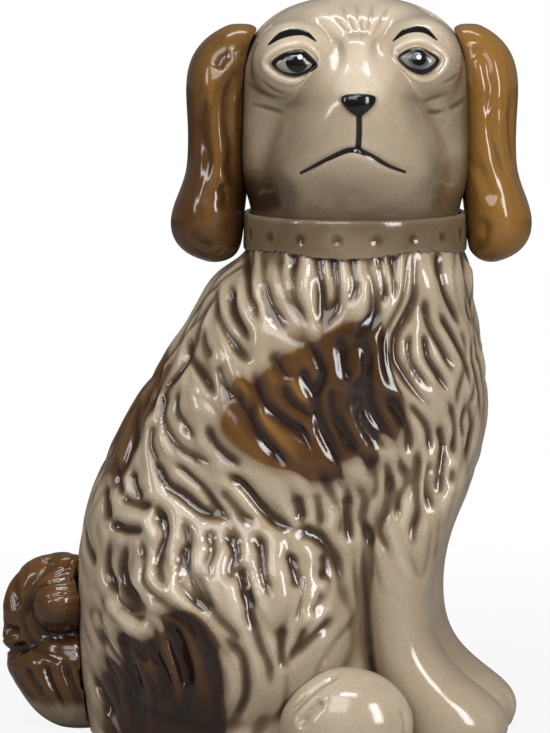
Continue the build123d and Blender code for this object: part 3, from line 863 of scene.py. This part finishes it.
def glaze_material(name, glaze):
    """Lead-glazed earthenware: glassy, pale where the glaze runs thin on ridges, dark where it pools, with
    painted light and shade laid into its tones.
    """
    if name in bpy.data.materials:
        return bpy.data.materials[name]
    material = bpy.data.materials.new(name)
    material.use_nodes = True
    tree = material.node_tree
    shader = tree.nodes["Principled BSDF"]
    place = add_node(tree, "ShaderNodeTexCoord", {}, "Object")
    cloud = add_node(tree, "ShaderNodeTexNoise", {"Vector": place, "Scale": 1 / CLOUD_SIZE, "Detail": 3})
    unrest = add_node(tree, "ShaderNodeMapRange", {"Value": cloud, "To Min": -0.25, "To Max": 0.25})
    hollow = add_node(tree, "ShaderNodeAttribute", {}, "Fac", attribute_name="hollow")
    depth = add_node(tree, "ShaderNodeMath", {0: hollow, 1: unrest}, operation="ADD")

    # Cream glaze, pale to umber to almost black as it gets deeper, and darker under painted shade and paler
    # under painted light that the hollow mark carries
    cream = opaque(glaze.pale)
    for low, high, tone in ((-0.6, 0.0, glaze.cream), (0.0, 0.6, glaze.umber), (0.5, 1.2, glaze.pooled_and_shaded)):
        share = add_node(
            tree, "ShaderNodeMapRange", {"Value": depth, "From Min": low, "From Max": high},
            interpolation_type="SMOOTHSTEP")
        cream = add_node(tree, "ShaderNodeMix", {0: share, 6: cream, 7: opaque(tone)}, 2, data_type="RGBA")

    # Brown glaze, gold to treacle to burnt as it gets deeper, and darker under the painted shade of the hollow
    # mark
    laid = add_node(tree, "ShaderNodeAttribute", {}, "Fac", attribute_name="thick")
    thick = add_node(tree, "ShaderNodeMath", {0: depth, 1: laid}, operation="ADD")
    brown = opaque(glaze.gold)
    for low, high, tone in ((-0.5, 0.3, glaze.treacle), (0.25, 1.2, glaze.burnt)):
        share = add_node(
            tree, "ShaderNodeMapRange", {"Value": thick, "From Min": low, "From Max": high},
            interpolation_type="SMOOTHSTEP")
        brown = add_node(tree, "ShaderNodeMix", {0: share, 6: brown, 7: opaque(tone)}, 2, data_type="RGBA")
    cover = add_node(tree, "ShaderNodeAttribute", {}, "Fac", attribute_name="brown")
    edge = add_node(tree, "ShaderNodeMath", {0: cover, 1: unrest}, operation="ADD")
    share = add_node(
        tree, "ShaderNodeMapRange", {"Value": edge, "From Min": 0.25, "From Max": 0.75},
        interpolation_type="SMOOTHSTEP")
    share = add_node(tree, "ShaderNodeMath", {0: share, 1: cover}, operation="MAXIMUM", use_clamp=True)
    surface = add_node(tree, "ShaderNodeMix", {0: share, 6: cream, 7: brown}, 2, data_type="RGBA")

    # Fine dark speckle of iron in the body
    grain = add_node(tree, "ShaderNodeTexNoise", {"Vector": place, "Scale": 1 / SPECKLE_SIZE, "Detail": 2})
    share = add_node(
        tree, "ShaderNodeMapRange", {"Value": grain, "From Min": 0.52, "From Max": 0.75, "To Max": 0.2})
    surface = add_node(
        tree, "ShaderNodeMix", {0: share, 6: surface, 7: opaque(glaze.pooled_and_shaded)}, 2, data_type="RGBA")

    # Paint of the face, in the order it is laid, with a painted highlight in each pupil, and the foot wiped
    # clean of glaze
    paints = (
        ("enamel", glaze.enamel), ("eye_white", glaze.eye_white), ("iris", glaze.iris),
        ("pupil", glaze.enamel), ("glint", glaze.glint), ("bare", glaze.clay),
    )
    for mark, tone in paints:
        laid = add_node(tree, "ShaderNodeAttribute", {}, "Fac", attribute_name=mark)
        share = add_node(
            tree, "ShaderNodeMapRange", {"Value": laid, "From Min": 0.4, "From Max": 0.6},
            interpolation_type="SMOOTHSTEP")
        tones = {0: share, 6: surface, 7: opaque(tone)}
        surface = add_node(tree, "ShaderNodeMix", tones, 2, data_type="RGBA")
    tree.links.new(surface, shader.inputs["Base Color"])
    matt = add_node(tree, "ShaderNodeMapRange", {"Value": share, "To Min": 0.15, "To Max": 0.8})
    tree.links.new(matt, shader.inputs["Roughness"])
    shader.inputs["IOR"].default_value = 1.52

    # Slow ripple of a glaze that has run
    ripple = add_node(tree, "ShaderNodeTexNoise", {"Vector": place, "Scale": 1 / RIPPLE_SIZE, "Detail": 1})
    bump = add_node(tree, "ShaderNodeBump", {"Height": ripple, "Strength": 0.2, "Distance": RIPPLE_HEIGHT})
    tree.links.new(bump, shader.inputs["Normal"])
    return material


def clay_material(glaze):
    """Bare biscuit-fired clay: matt and buff, with a sandy grain."""
    material = bpy.data.materials.new("biscuit_fired_clay")
    material.use_nodes = True
    tree = material.node_tree
    shader = tree.nodes["Principled BSDF"]
    place = add_node(tree, "ShaderNodeTexCoord", {}, "Object")
    sand = add_node(tree, "ShaderNodeTexNoise", {"Vector": place, "Scale": 1 / SAND_SIZE, "Detail": 3})
    share = add_node(tree, "ShaderNodeMapRange", {"Value": sand, "From Min": 0.35, "From Max": 0.7})
    tones = {0: share, 6: opaque(glaze.clay), 7: opaque(glaze.sand)}
    surface = add_node(tree, "ShaderNodeMix", tones, 2, data_type="RGBA")
    tree.links.new(surface, shader.inputs["Base Color"])
    shader.inputs["Roughness"].default_value = 0.85
    return material


# Pieces

class SPANIEL_OT_stage(bpy.types.Operator):
    """Set the floor, the soft boxes and the camera"""
    bl_idname = "spaniel.stage"
    bl_label = "Stage"

    def execute(self, context):
        settings = context.scene.spaniel_stage
        scene = context.scene
        scene.view_settings.view_transform = "Standard"
        aim = Vector((
            RUMP_X + (PHOTO_WIDTH_PX / 2 - RUMP_PX) * PIXEL,
            SEAM_Y,
            (FLOOR_PX - PHOTO_HEIGHT_PX / 2) * PIXEL,
        ))
        turn = settings.camera_azimuth
        place = Vector((
            aim.x + settings.camera_distance * sin(turn),
            aim.y - settings.camera_distance * cos(turn),
            settings.camera_height,
        ))
        lens = bpy.data.cameras.new("camera")
        lens.sensor_width = SENSOR
        lens.lens = SENSOR * (place - aim).length / (PHOTO_HEIGHT_PX * PIXEL)
        camera = bpy.data.objects.new("camera", lens)
        camera.location = place
        camera.rotation_euler = (aim - place).to_track_quat("-Z", "Y").to_euler()
        scene.collection.objects.link(camera)
        scene.camera = camera
        self.floor(settings)
        self.soft_box("key", aim, settings.key_power, *KEY_BOX)
        self.soft_box("crown", aim, settings.strip_power, *CROWN_BOX)
        self.soft_box("brow", aim, settings.strip_power, *BROW_BOX)
        self.soft_box("rump_side", aim, settings.strip_power, *RUMP_BOX)
        self.soft_box("chest_side", aim, settings.strip_power, *CHEST_BOX)
        self.room(scene, settings)
        context.view_layer.update()
        return {"FINISHED"}

    def floor(self, settings):
        """A plain floor that is white to the camera but for a little of its shadow near the figure."""
        shape = bmesh.new()
        bmesh.ops.create_grid(shape, x_segments=1, y_segments=1, size=FLOOR_REACH)
        mesh = bpy.data.meshes.new("floor")
        shape.to_mesh(mesh)
        shape.free()
        floor = bpy.data.objects.new("floor", mesh)
        bpy.context.collection.objects.link(floor)
        material = bpy.data.materials.new("matt_paper_floor")
        material.use_nodes = True
        tree = material.node_tree
        shader = tree.nodes["Principled BSDF"]
        shader.inputs["Base Color"].default_value = opaque(settings.floor_colour)
        shader.inputs["Roughness"].default_value = 0.9
        seen = add_node(tree, "ShaderNodeLightPath", {}, "Is Camera Ray")
        place = add_node(tree, "ShaderNodeTexCoord", {}, "Object")
        away = add_node(tree, "ShaderNodeVectorMath", {0: place}, "Value", operation="LENGTH")
        plain = add_node(
            tree, "ShaderNodeMapRange",
            {"Value": away, "From Min": 0.1, "From Max": 0.45, "To Min": 0.9, "To Max": 1.0})
        share = add_node(tree, "ShaderNodeMath", {0: seen, 1: plain}, operation="MULTIPLY")
        white = add_node(tree, "ShaderNodeEmission", {"Color": (1, 1, 1, 1), "Strength": 1.0})
        mixed = add_node(tree, "ShaderNodeMixShader", {0: share, 1: shader.outputs[0], 2: white})
        tree.links.new(mixed, tree.nodes["Material Output"].inputs["Surface"])
        mesh.materials.append(material)

    def soft_box(self, name, aim, power, place, size, share):
        """A rectangular soft box that looks at the figure."""
        light = bpy.data.lights.new(name, "AREA")
        light.shape = "RECTANGLE"
        light.size, light.size_y = size
        light.energy = share * power
        lamp = bpy.data.objects.new(name, light)
        lamp.location = place
        lamp.rotation_euler = (aim - Vector(place)).to_track_quat("-Z", "Y").to_euler()
        bpy.context.collection.objects.link(lamp)

    def room(self, scene, settings):
        """Even light from all round, with a white backdrop for the camera."""
        world = bpy.data.worlds.new("studio")
        world.use_nodes = True
        scene.world = world
        tree = world.node_tree
        ground = tree.nodes["Background"]
        ground.inputs["Color"].default_value = (1, 1, 1, 1)
        seen = add_node(tree, "ShaderNodeLightPath", {}, "Is Camera Ray")
        strength = add_node(
            tree, "ShaderNodeMapRange", {"Value": seen, "To Min": settings.room_light, "To Max": 1.0})
        tree.links.new(strength, ground.inputs["Strength"])


class SPANIEL_OT_body(bpy.types.Operator):
    """Model the coat of the body and part it at its mould seam"""
    bl_idname = "spaniel.body"
    bl_label = "Body"

    def execute(self, context):
        coat = context.scene.spaniel_coat
        rng = np.random.default_rng(11)
        plugs = (neck_plug(NECK_Z - 2 * WALL, NECK_Z - MM), slab_plug, vent_cup)
        clay = Clay(net_over("body", ("right_body_half", "left_body_half"), coat.body_net, plugs))
        standing = swell(clay.points[:, 2], *FOOT_HEIGHTS)
        below_neck = swell(NECK_Z - clay.points[:, 2], *RIM_DEPTHS)
        clay.soften(coat.softening, standing * below_neck)
        clay.fill_out(CHEST_FULLNESS, 1)
        clay.push(self.haunch_ledge(clay))
        coated = swell(clay.points[:, 2], *COAT_HEIGHTS)
        clay.soften(3 * coat.softening, standing * below_neck * coated)
        strokes = NECK_LOCKS + BACK_LOCKS + HAUNCH_LOCKS + SHOULDER_LOCKS + CHEST_LOCKS
        lines = drawn_locks(clay, strokes, both_sides=True)
        lines += end_locks(clay, rng, *CHEST_END)
        lines += end_locks(clay, rng, *SPINE_END)
        carved = comb(clay, lines, coat.groove_depth, coat.groove_width, rng)
        values, cover = locks(clay, lines, LOCK_BREADTH, rng)
        under_collar = swell(NECK_Z - clay.points[:, 2], *COLLAR_DEPTHS)
        relief = rolled(values, coat.lock_height, coat.crease_depth) * cover
        clay.push((relief - carved) * standing * under_collar)
        clay.soften(7, standing)
        # The glaze pools dark in grooves; painted shade darkens broad hollows, such as between leg and haunch
        # and under the coat that overhangs the haunch
        shade = 0.15 + 1.25 * clay.hollowness(40, GROOVE_FULL) + 0.3 * carved / coat.groove_depth
        clay.mark("hollow", shade + 0.8 * np.clip(clay.hollowness(160, SHADED_VALLEY_FULL), 0, 1))
        cover, thickness = self.patches(clay, np.tanh(2 * values) * cover)
        clay.mark("brown", cover)
        clay.mark("thick", thickness)
        clay.mark("bare", 1 - swell(clay.points[:, 2], *WIPED_HEIGHTS))
        material = glaze_material("cream_lead_glaze", context.scene.spaniel_glaze)
        seam = (0, SEAM_Y, 0)
        right = half_of(clay.mesh, "right_body", seam, (0, -1, 0))
        left = half_of(clay.mesh, "left_body", seam, (0, 1, 0))
        finish_piece("right_body", right, material, "cream_glaze", "right_body_half")
        finish_piece("left_body", left, material, "cream_glaze", "left_body_half")
        return {"FINISHED"}

    def haunch_ledge(self, clay):
        """How far the haunch swells out below the coat that hangs over it, the same on both sides."""
        near = clay.points.copy()
        near[:, 1] = SEAM_Y - np.abs(near[:, 1] - SEAM_Y)
        pixels = photo_places(near)
        line = flowing(HAUNCH_TOP, 4)
        drop = pixels[:, 1] - np.interp(pixels[:, 0], line[:, 0], line[:, 1])
        ends = swell(pixels[:, 0], *HAUNCH_REAR_PX) * (1 - swell(pixels[:, 0], *HAUNCH_FRONT_PX))
        return HAUNCH_LEDGE * ends * swell(drop, *LEDGE_RISE_PX) * (1 - swell(drop, *LEDGE_FALL_PX))

    def patches(self, clay, streaks):
        """Cover and thickness of the brown patches, the same on both sides, with streaky edges."""
        near = clay.points.copy()
        near[:, 1] = SEAM_Y - np.abs(near[:, 1] - SEAM_Y)
        pixels = photo_places(near)
        cover = np.zeros(len(near))
        thickness = np.zeros(len(near))
        for outline, left, right in BROWN_PATCHES:
            laid = paint(inside_depth(pixels, outline) + PATCH_STREAK_PX * streaks, PATCH_BLUR_PX)
            across = swell(pixels[:, 0], *PATCH_TURN_PX)
            thickness += laid * (left + (right - left) * across)
            cover = np.maximum(cover, laid)
        return cover, thickness


class SPANIEL_OT_head(bpy.types.Operator):
    """Model and paint the head"""
    bl_idname = "spaniel.head"
    bl_label = "Head"

    def execute(self, context):
        coat = context.scene.spaniel_coat
        plugs = (neck_plug(NECK_Z + MM, NECK_Z + 2 * WALL),)
        clay = Clay(net_over("head", ("face_half", "head_back_half"), coat.head_net, plugs))
        clay.soften(HEAD_SOFTENING)
        pixels = photo_places(clay.points)
        camera = np.array(context.scene.camera.location)
        front = np.einsum("ij,ij->i", clay.normals, camera - clay.points) > 0
        pixels[~front] = -PHOTO_WIDTH_PX
        self.model_features(clay, pixels)
        pixels = photo_places(clay.points)
        pixels[~front] = -PHOTO_WIDTH_PX
        self.paint_features(clay, pixels)
        material = glaze_material("painted_cream_lead_glaze", context.scene.spaniel_glaze)
        forward = Vector((sin(HEAD_TURN), -cos(HEAD_TURN), 0))
        seam = (NECK_AXIS.x, NECK_AXIS.y, 0)
        face = half_of(clay.mesh, "face", seam, forward)
        back = half_of(clay.mesh, "head_back", seam, -forward)
        finish_piece("face", face, material, "cream_glaze", "face_half")
        finish_piece("head_back", back, material, "cream_glaze", "head_back_half")
        return {"FINISHED"}

    def model_features(self, clay, pixels):
        """Swells the brows, raises eyeballs and nose, and cuts the mouth and the fine creases."""
        move = np.zeros(len(pixels))
        for middle in BROW_SWELLINGS:
            away = np.linalg.norm(pixels - np.array(middle), axis=1)
            upper = swell(middle[1] - pixels[:, 1], -0.3 * BROW_RADIUS_PX, 0.4 * BROW_RADIUS_PX)
            move += BROW_HEIGHT * swell(BROW_RADIUS_PX - away, 0, 0.45 * BROW_RADIUS_PX)
            move -= BROW_FOLD * upper * np.exp(-((away - BROW_RADIUS_PX) / 6) ** 2)
        for eye in (RIGHT_EYE, LEFT_EYE):
            depth = inside_depth(pixels, eye)
            move += EYEBALL_HEIGHT * swell(depth, 0, 10) - EYE_RIM_DEPTH * np.exp(-((depth - 1) / 2) ** 2)
            move += EYELID_HEIGHT * np.exp(-((depth + 4) / 3) ** 2)
        move += NOSE_HEIGHT * swell(inside_depth(pixels, NOSE), -1.5, 3.5)
        for line in MOUTH_LINES:
            distance, along = line_distance(pixels, flowing(line, 2))
            move -= MOUTH_DEPTH * np.exp(-(distance / 3.5) ** 2) * swell(1 - along, -0.2, 0.4)
        for line in CHEEK_STROKES + FOREHEAD_STROKES:
            distance, along = line_distance(pixels, flowing(line, 2))
            move -= STROKE_DEPTH * np.exp(-(distance / 2.5) ** 2) * np.sin(pi * along)
        clay.push(move)

    def paint_features(self, clay, pixels):
        """Keeps the cover of each paint on the face, and how dark the glaze lies: pooled in creases, under the
        wash strokes, and with painted shade and painted light.
        """
        depths = [inside_depth(pixels, outline) for outline in (RIGHT_EYE, LEFT_EYE, NOSE)]
        depths.append(line_depth(pixels, RIGHT_BROW, *RIGHT_BROW_BRUSH_PX))
        depths.append(line_depth(pixels, LEFT_BROW, *LEFT_BROW_BRUSH_PX))
        philtrum, *lips = MOUTH_LINES
        depths.append(line_depth(pixels, philtrum, *PHILTRUM_BRUSH_PX))
        for lip in lips:
            distance, along = line_distance(pixels, flowing(lip, 2))
            depths.append(LIP_START_PX - LIP_TAPER_PX * along - distance)
        enamel = paint(np.max(depths, axis=0), PAINT_BLUR_PX)
        clay.mark("enamel", enamel)
        depths = [inside_depth(pixels, outline) for outline in (RIGHT_EYE_WHITE, LEFT_EYE_WHITE)]
        whites = paint(np.max(depths, axis=0), PAINT_BLUR_PX)
        clay.mark("eye_white", whites)
        right = RIGHT_PUPIL_RADIUS_PX - np.linalg.norm(pixels - np.array(RIGHT_PUPIL), axis=1)
        left = LEFT_PUPIL_RADIUS_PX - np.linalg.norm(pixels - np.array(LEFT_PUPIL), axis=1)
        clay.mark("pupil", paint(np.maximum(right, left), PAINT_BLUR_PX))
        iris = left + LEFT_IRIS_RADIUS_PX - LEFT_PUPIL_RADIUS_PX
        clay.mark("iris", paint(iris, PAINT_BLUR_PX) * (whites > 0.3))
        glints = [np.linalg.norm(pixels - np.array(glint), axis=1) for glint in (RIGHT_GLINT, LEFT_GLINT)]
        clay.mark("glint", paint(GLINT_RADIUS_PX - np.minimum(*glints), GLINT_BLUR_PX))
        strokes = np.zeros(len(pixels))
        for line in CHEEK_STROKES + FOREHEAD_STROKES:
            wash = paint(line_depth(pixels, line, *WASH_BRUSH_PX), PAINT_BLUR_PX)
            strokes = np.maximum(strokes, wash)
        # Painted shade on the cheeks facing sideways, at the chin and at the left jaw; painted light at the
        # crown and at the stop between the eyes
        height = clay.points[:, 2] - NECK_Z
        sides = np.abs(clay.normals @ np.array((cos(HEAD_TURN), sin(HEAD_TURN), 0))) ** 3
        shade = 0.5 * sides + 0.3 * (1 - swell(height, *CHIN_SHADE_HEIGHTS)) - 0.35 * swell(height, *CROWN_LIGHT_HEIGHTS)
        away = np.linalg.norm((pixels - np.array(JAW_SHADE)) / np.array(JAW_SHADE_REACH_PX), axis=1)
        shade += 0.6 * (1 - swell(away, 0.3, 1.0))
        away = np.linalg.norm((pixels - np.array(STOP_LIGHT)) / np.array(STOP_LIGHT_REACH_PX), axis=1)
        shade -= 0.5 * (1 - swell(away, 0.2, 1.0))
        clay.mark("hollow", clay.hollowness(30, GROOVE_FULL) + shade + 0.4 * strokes)


class SPANIEL_OT_ears(bpy.types.Operator):
    """Model the folds of the two ears"""
    bl_idname = "spaniel.ears"
    bl_label = "Ears"

    def execute(self, context):
        coat = context.scene.spaniel_coat
        material = glaze_material("treacle_brown_lead_glaze", context.scene.spaniel_glaze)
        rng = np.random.default_rng(5)
        for node, folds in (("right_ear", RIGHT_EAR_FOLDS), ("left_ear", LEFT_EAR_FOLDS)):
            clay = Clay(net_over(node + "_glazed", (node,), coat.head_net))
            clay.soften(coat.softening)
            inner = clay.points[:, 0].max() if node == "right_ear" else clay.points[:, 0].min()
            clay.points[:, 0] = inner + EAR_SLIMNESS[node] * (clay.points[:, 0] - inner)
            clay.settle()
            lines = drawn_locks(clay, folds)
            carved = comb(clay, lines, 0.8 * coat.groove_depth, 1.4 * coat.groove_width, rng)
            values, cover = locks(clay, lines, LOCK_BREADTH, rng)
            clay.push(rolled(values, 0.3 * coat.lock_height, 0) * cover - carved)
            clay.soften(6)
            # The brown is laid darker towards the bottom of each ear and along its front and back edges
            top, bottom = clay.points[:, 2].max(), clay.points[:, 2].min()
            drop = (top - clay.points[:, 2]) / (top - bottom)
            edge = np.abs(clay.normals[:, 0]) ** 2
            clay.mark("hollow", clay.hollowness(40, GROOVE_FULL) - 0.15 * np.tanh(np.abs(values)))
            clay.mark("thick", EAR_GLAZE[node] + 0.3 * drop + 0.35 * edge)
            clay.mark("brown", np.ones(len(drop)))
            finish_piece(clay.mesh.name, clay.mesh, material, "brown_glaze", node)
        return {"FINISHED"}


class SPANIEL_OT_collar(bpy.types.Operator):
    """Round the collar and dot its stud marks"""
    bl_idname = "spaniel.collar"
    bl_label = "Collar"

    def execute(self, context):
        coat = context.scene.spaniel_coat
        clay = Clay(net_over("studded_collar", ("collar",), coat.head_net))
        clay.soften(10)
        radius = (COLLAR[1].x - COLLAR[0].x) / 2
        nearest = np.full(len(clay.points), np.inf)
        for index in range(STUD_COUNT):
            angle = HEAD_TURN - pi / 2 + (index + 0.5) * 2 * pi / STUD_COUNT
            stud = (NECK_AXIS.x + radius * cos(angle), NECK_AXIS.y + radius * sin(angle), NECK_Z)
            nearest = np.minimum(nearest, np.linalg.norm(clay.points - np.array(stud), axis=1))
        clay.mark("hollow", 0.5 + 0.6 * clay.hollowness(12, COLLAR_EDGE_FULL))
        clay.mark("brown", 0.6 * np.clip(0.5 + (STUD_RADIUS - nearest) / (2 * STUD_BLUR), 0, 1))
        material = glaze_material("cream_lead_glaze", context.scene.spaniel_glaze)
        finish_piece("studded_collar", clay.mesh, material, "cream_glaze", "collar")
        return {"FINISHED"}


class SPANIEL_OT_hind_paws(bpy.types.Operator):
    """Model the two hind paws"""
    bl_idname = "spaniel.hind_paws"
    bl_label = "Hind paws"

    def execute(self, context):
        coat = context.scene.spaniel_coat
        rng = np.random.default_rng(7)
        material = glaze_material("cream_lead_glaze", context.scene.spaniel_glaze)
        lines = []
        for node in ("right_hind_paw", "left_hind_paw"):
            clay = Clay(net_over(node + "_glazed", (node,), coat.head_net))
            standing = swell(clay.points[:, 2], *FOOT_HEIGHTS)
            clay.soften(coat.softening, standing)
            lines = [mirrored(line) for line in lines] or drawn_locks(clay, PAW_LOCKS)
            carved = comb(clay, lines, 0.7 * coat.groove_depth, coat.groove_width, rng)
            clay.push(-carved * standing)
            # Glaze pools in the paw's lines, and painted light sets the whole paw paler
            clay.mark("hollow", clay.hollowness(20, PAW_LINE_FULL) - 0.15)
            clay.mark("bare", 1 - swell(clay.points[:, 2], *WIPED_HEIGHTS))
            finish_piece(clay.mesh.name, clay.mesh, material, "cream_glaze", node)
        return {"FINISHED"}


class SPANIEL_OT_tail(bpy.types.Operator):
    """Model the plume, the curl and the knob of the tail"""
    bl_idname = "spaniel.tail"
    bl_label = "Tail"

    def execute(self, context):
        coat = context.scene.spaniel_coat
        rng = np.random.default_rng(3)
        clay = Clay(net_over("tail_glazed", ("tail",), coat.head_net))
        standing = swell(clay.points[:, 2], *FOOT_HEIGHTS)
        clay.soften(coat.softening, standing)
        clay.fill_out(PLUME_FULLNESS, -1)
        lines = drawn_locks(clay, TAIL_LOCKS, both_sides=True)
        carved = comb(clay, lines, coat.groove_depth, coat.groove_width, rng)
        values, cover = locks(clay, lines, LOCK_BREADTH, rng)
        relief = rolled(values, 0.5 * coat.lock_height, 0.5 * coat.crease_depth) * cover
        clay.push((relief - carved) * standing)
        clay.mark("hollow", clay.hollowness(30, GROOVE_FULL))
        clay.mark("brown", 0.3 + swell(clay.points[:, 2], *TAIL_BROWN_HEIGHTS))
        clay.mark("thick", 0.55 - 0.35 * swell(clay.points[:, 2], *TAIL_PALER_HEIGHTS))
        clay.mark("bare", 1 - swell(clay.points[:, 2], *WIPED_HEIGHTS))
        material = glaze_material("treacle_brown_lead_glaze", context.scene.spaniel_glaze)
        finish_piece("tail_glazed", clay.mesh, material, "brown_glaze", "tail")
        return {"FINISHED"}


class SPANIEL_OT_bare_clay(bpy.types.Operator):
    """Give the slab and the hidden seam rolls their bare clay"""
    bl_idname = "spaniel.bare_clay"
    bl_label = "Bare clay"

    def execute(self, context):
        material = clay_material(context.scene.spaniel_glaze)
        for name in ("base_slab", "body_seam_rolls", "neck_seam_roll", "head_seam_roll"):
            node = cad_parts[name]
            node.data.materials.clear()
            node.data.materials.append(material)
        return {"FINISHED"}


class SPANIEL_PT_panel(bpy.types.Panel):
    """Settings and steps of the figure"""
    bl_idname = "SPANIEL_PT_panel"
    bl_label = "Spaniel figure"
    bl_space_type = "VIEW_3D"
    bl_region_type = "UI"
    bl_category = "Spaniel"

    def draw(self, context):
        for settings in ("spaniel_stage", "spaniel_coat", "spaniel_glaze"):
            group = getattr(context.scene, settings)
            for name in group.__annotations__:
                self.layout.prop(group, name)
        for operator in OPERATORS:
            self.layout.operator(operator.bl_idname)


SETTINGS = (("spaniel_stage", SpanielStage), ("spaniel_coat", SpanielCoat), ("spaniel_glaze", SpanielGlaze))
OPERATORS = (
    SPANIEL_OT_stage,
    SPANIEL_OT_body,
    SPANIEL_OT_head,
    SPANIEL_OT_ears,
    SPANIEL_OT_collar,
    SPANIEL_OT_hind_paws,
    SPANIEL_OT_tail,
    SPANIEL_OT_bare_clay,
)


def register():
    for name, group in SETTINGS:
        bpy.utils.register_class(group)
        setattr(bpy.types.Scene, name, PointerProperty(type=group))
    for operator in OPERATORS:
        bpy.utils.register_class(operator)
    bpy.utils.register_class(SPANIEL_PT_panel)


def unregister():
    bpy.utils.unregister_class(SPANIEL_PT_panel)
    for operator in reversed(OPERATORS):
        bpy.utils.unregister_class(operator)
    for name, group in reversed(SETTINGS):
        delattr(bpy.types.Scene, name)
        bpy.utils.unregister_class(group)


def main():
    register()
    bpy.ops.spaniel.stage()
    bpy.ops.spaniel.body()
    bpy.ops.spaniel.head()
    bpy.ops.spaniel.ears()
    bpy.ops.spaniel.collar()
    bpy.ops.spaniel.hind_paws()
    bpy.ops.spaniel.tail()
    bpy.ops.spaniel.bare_clay()


if __name__ == "__main__":
    main()
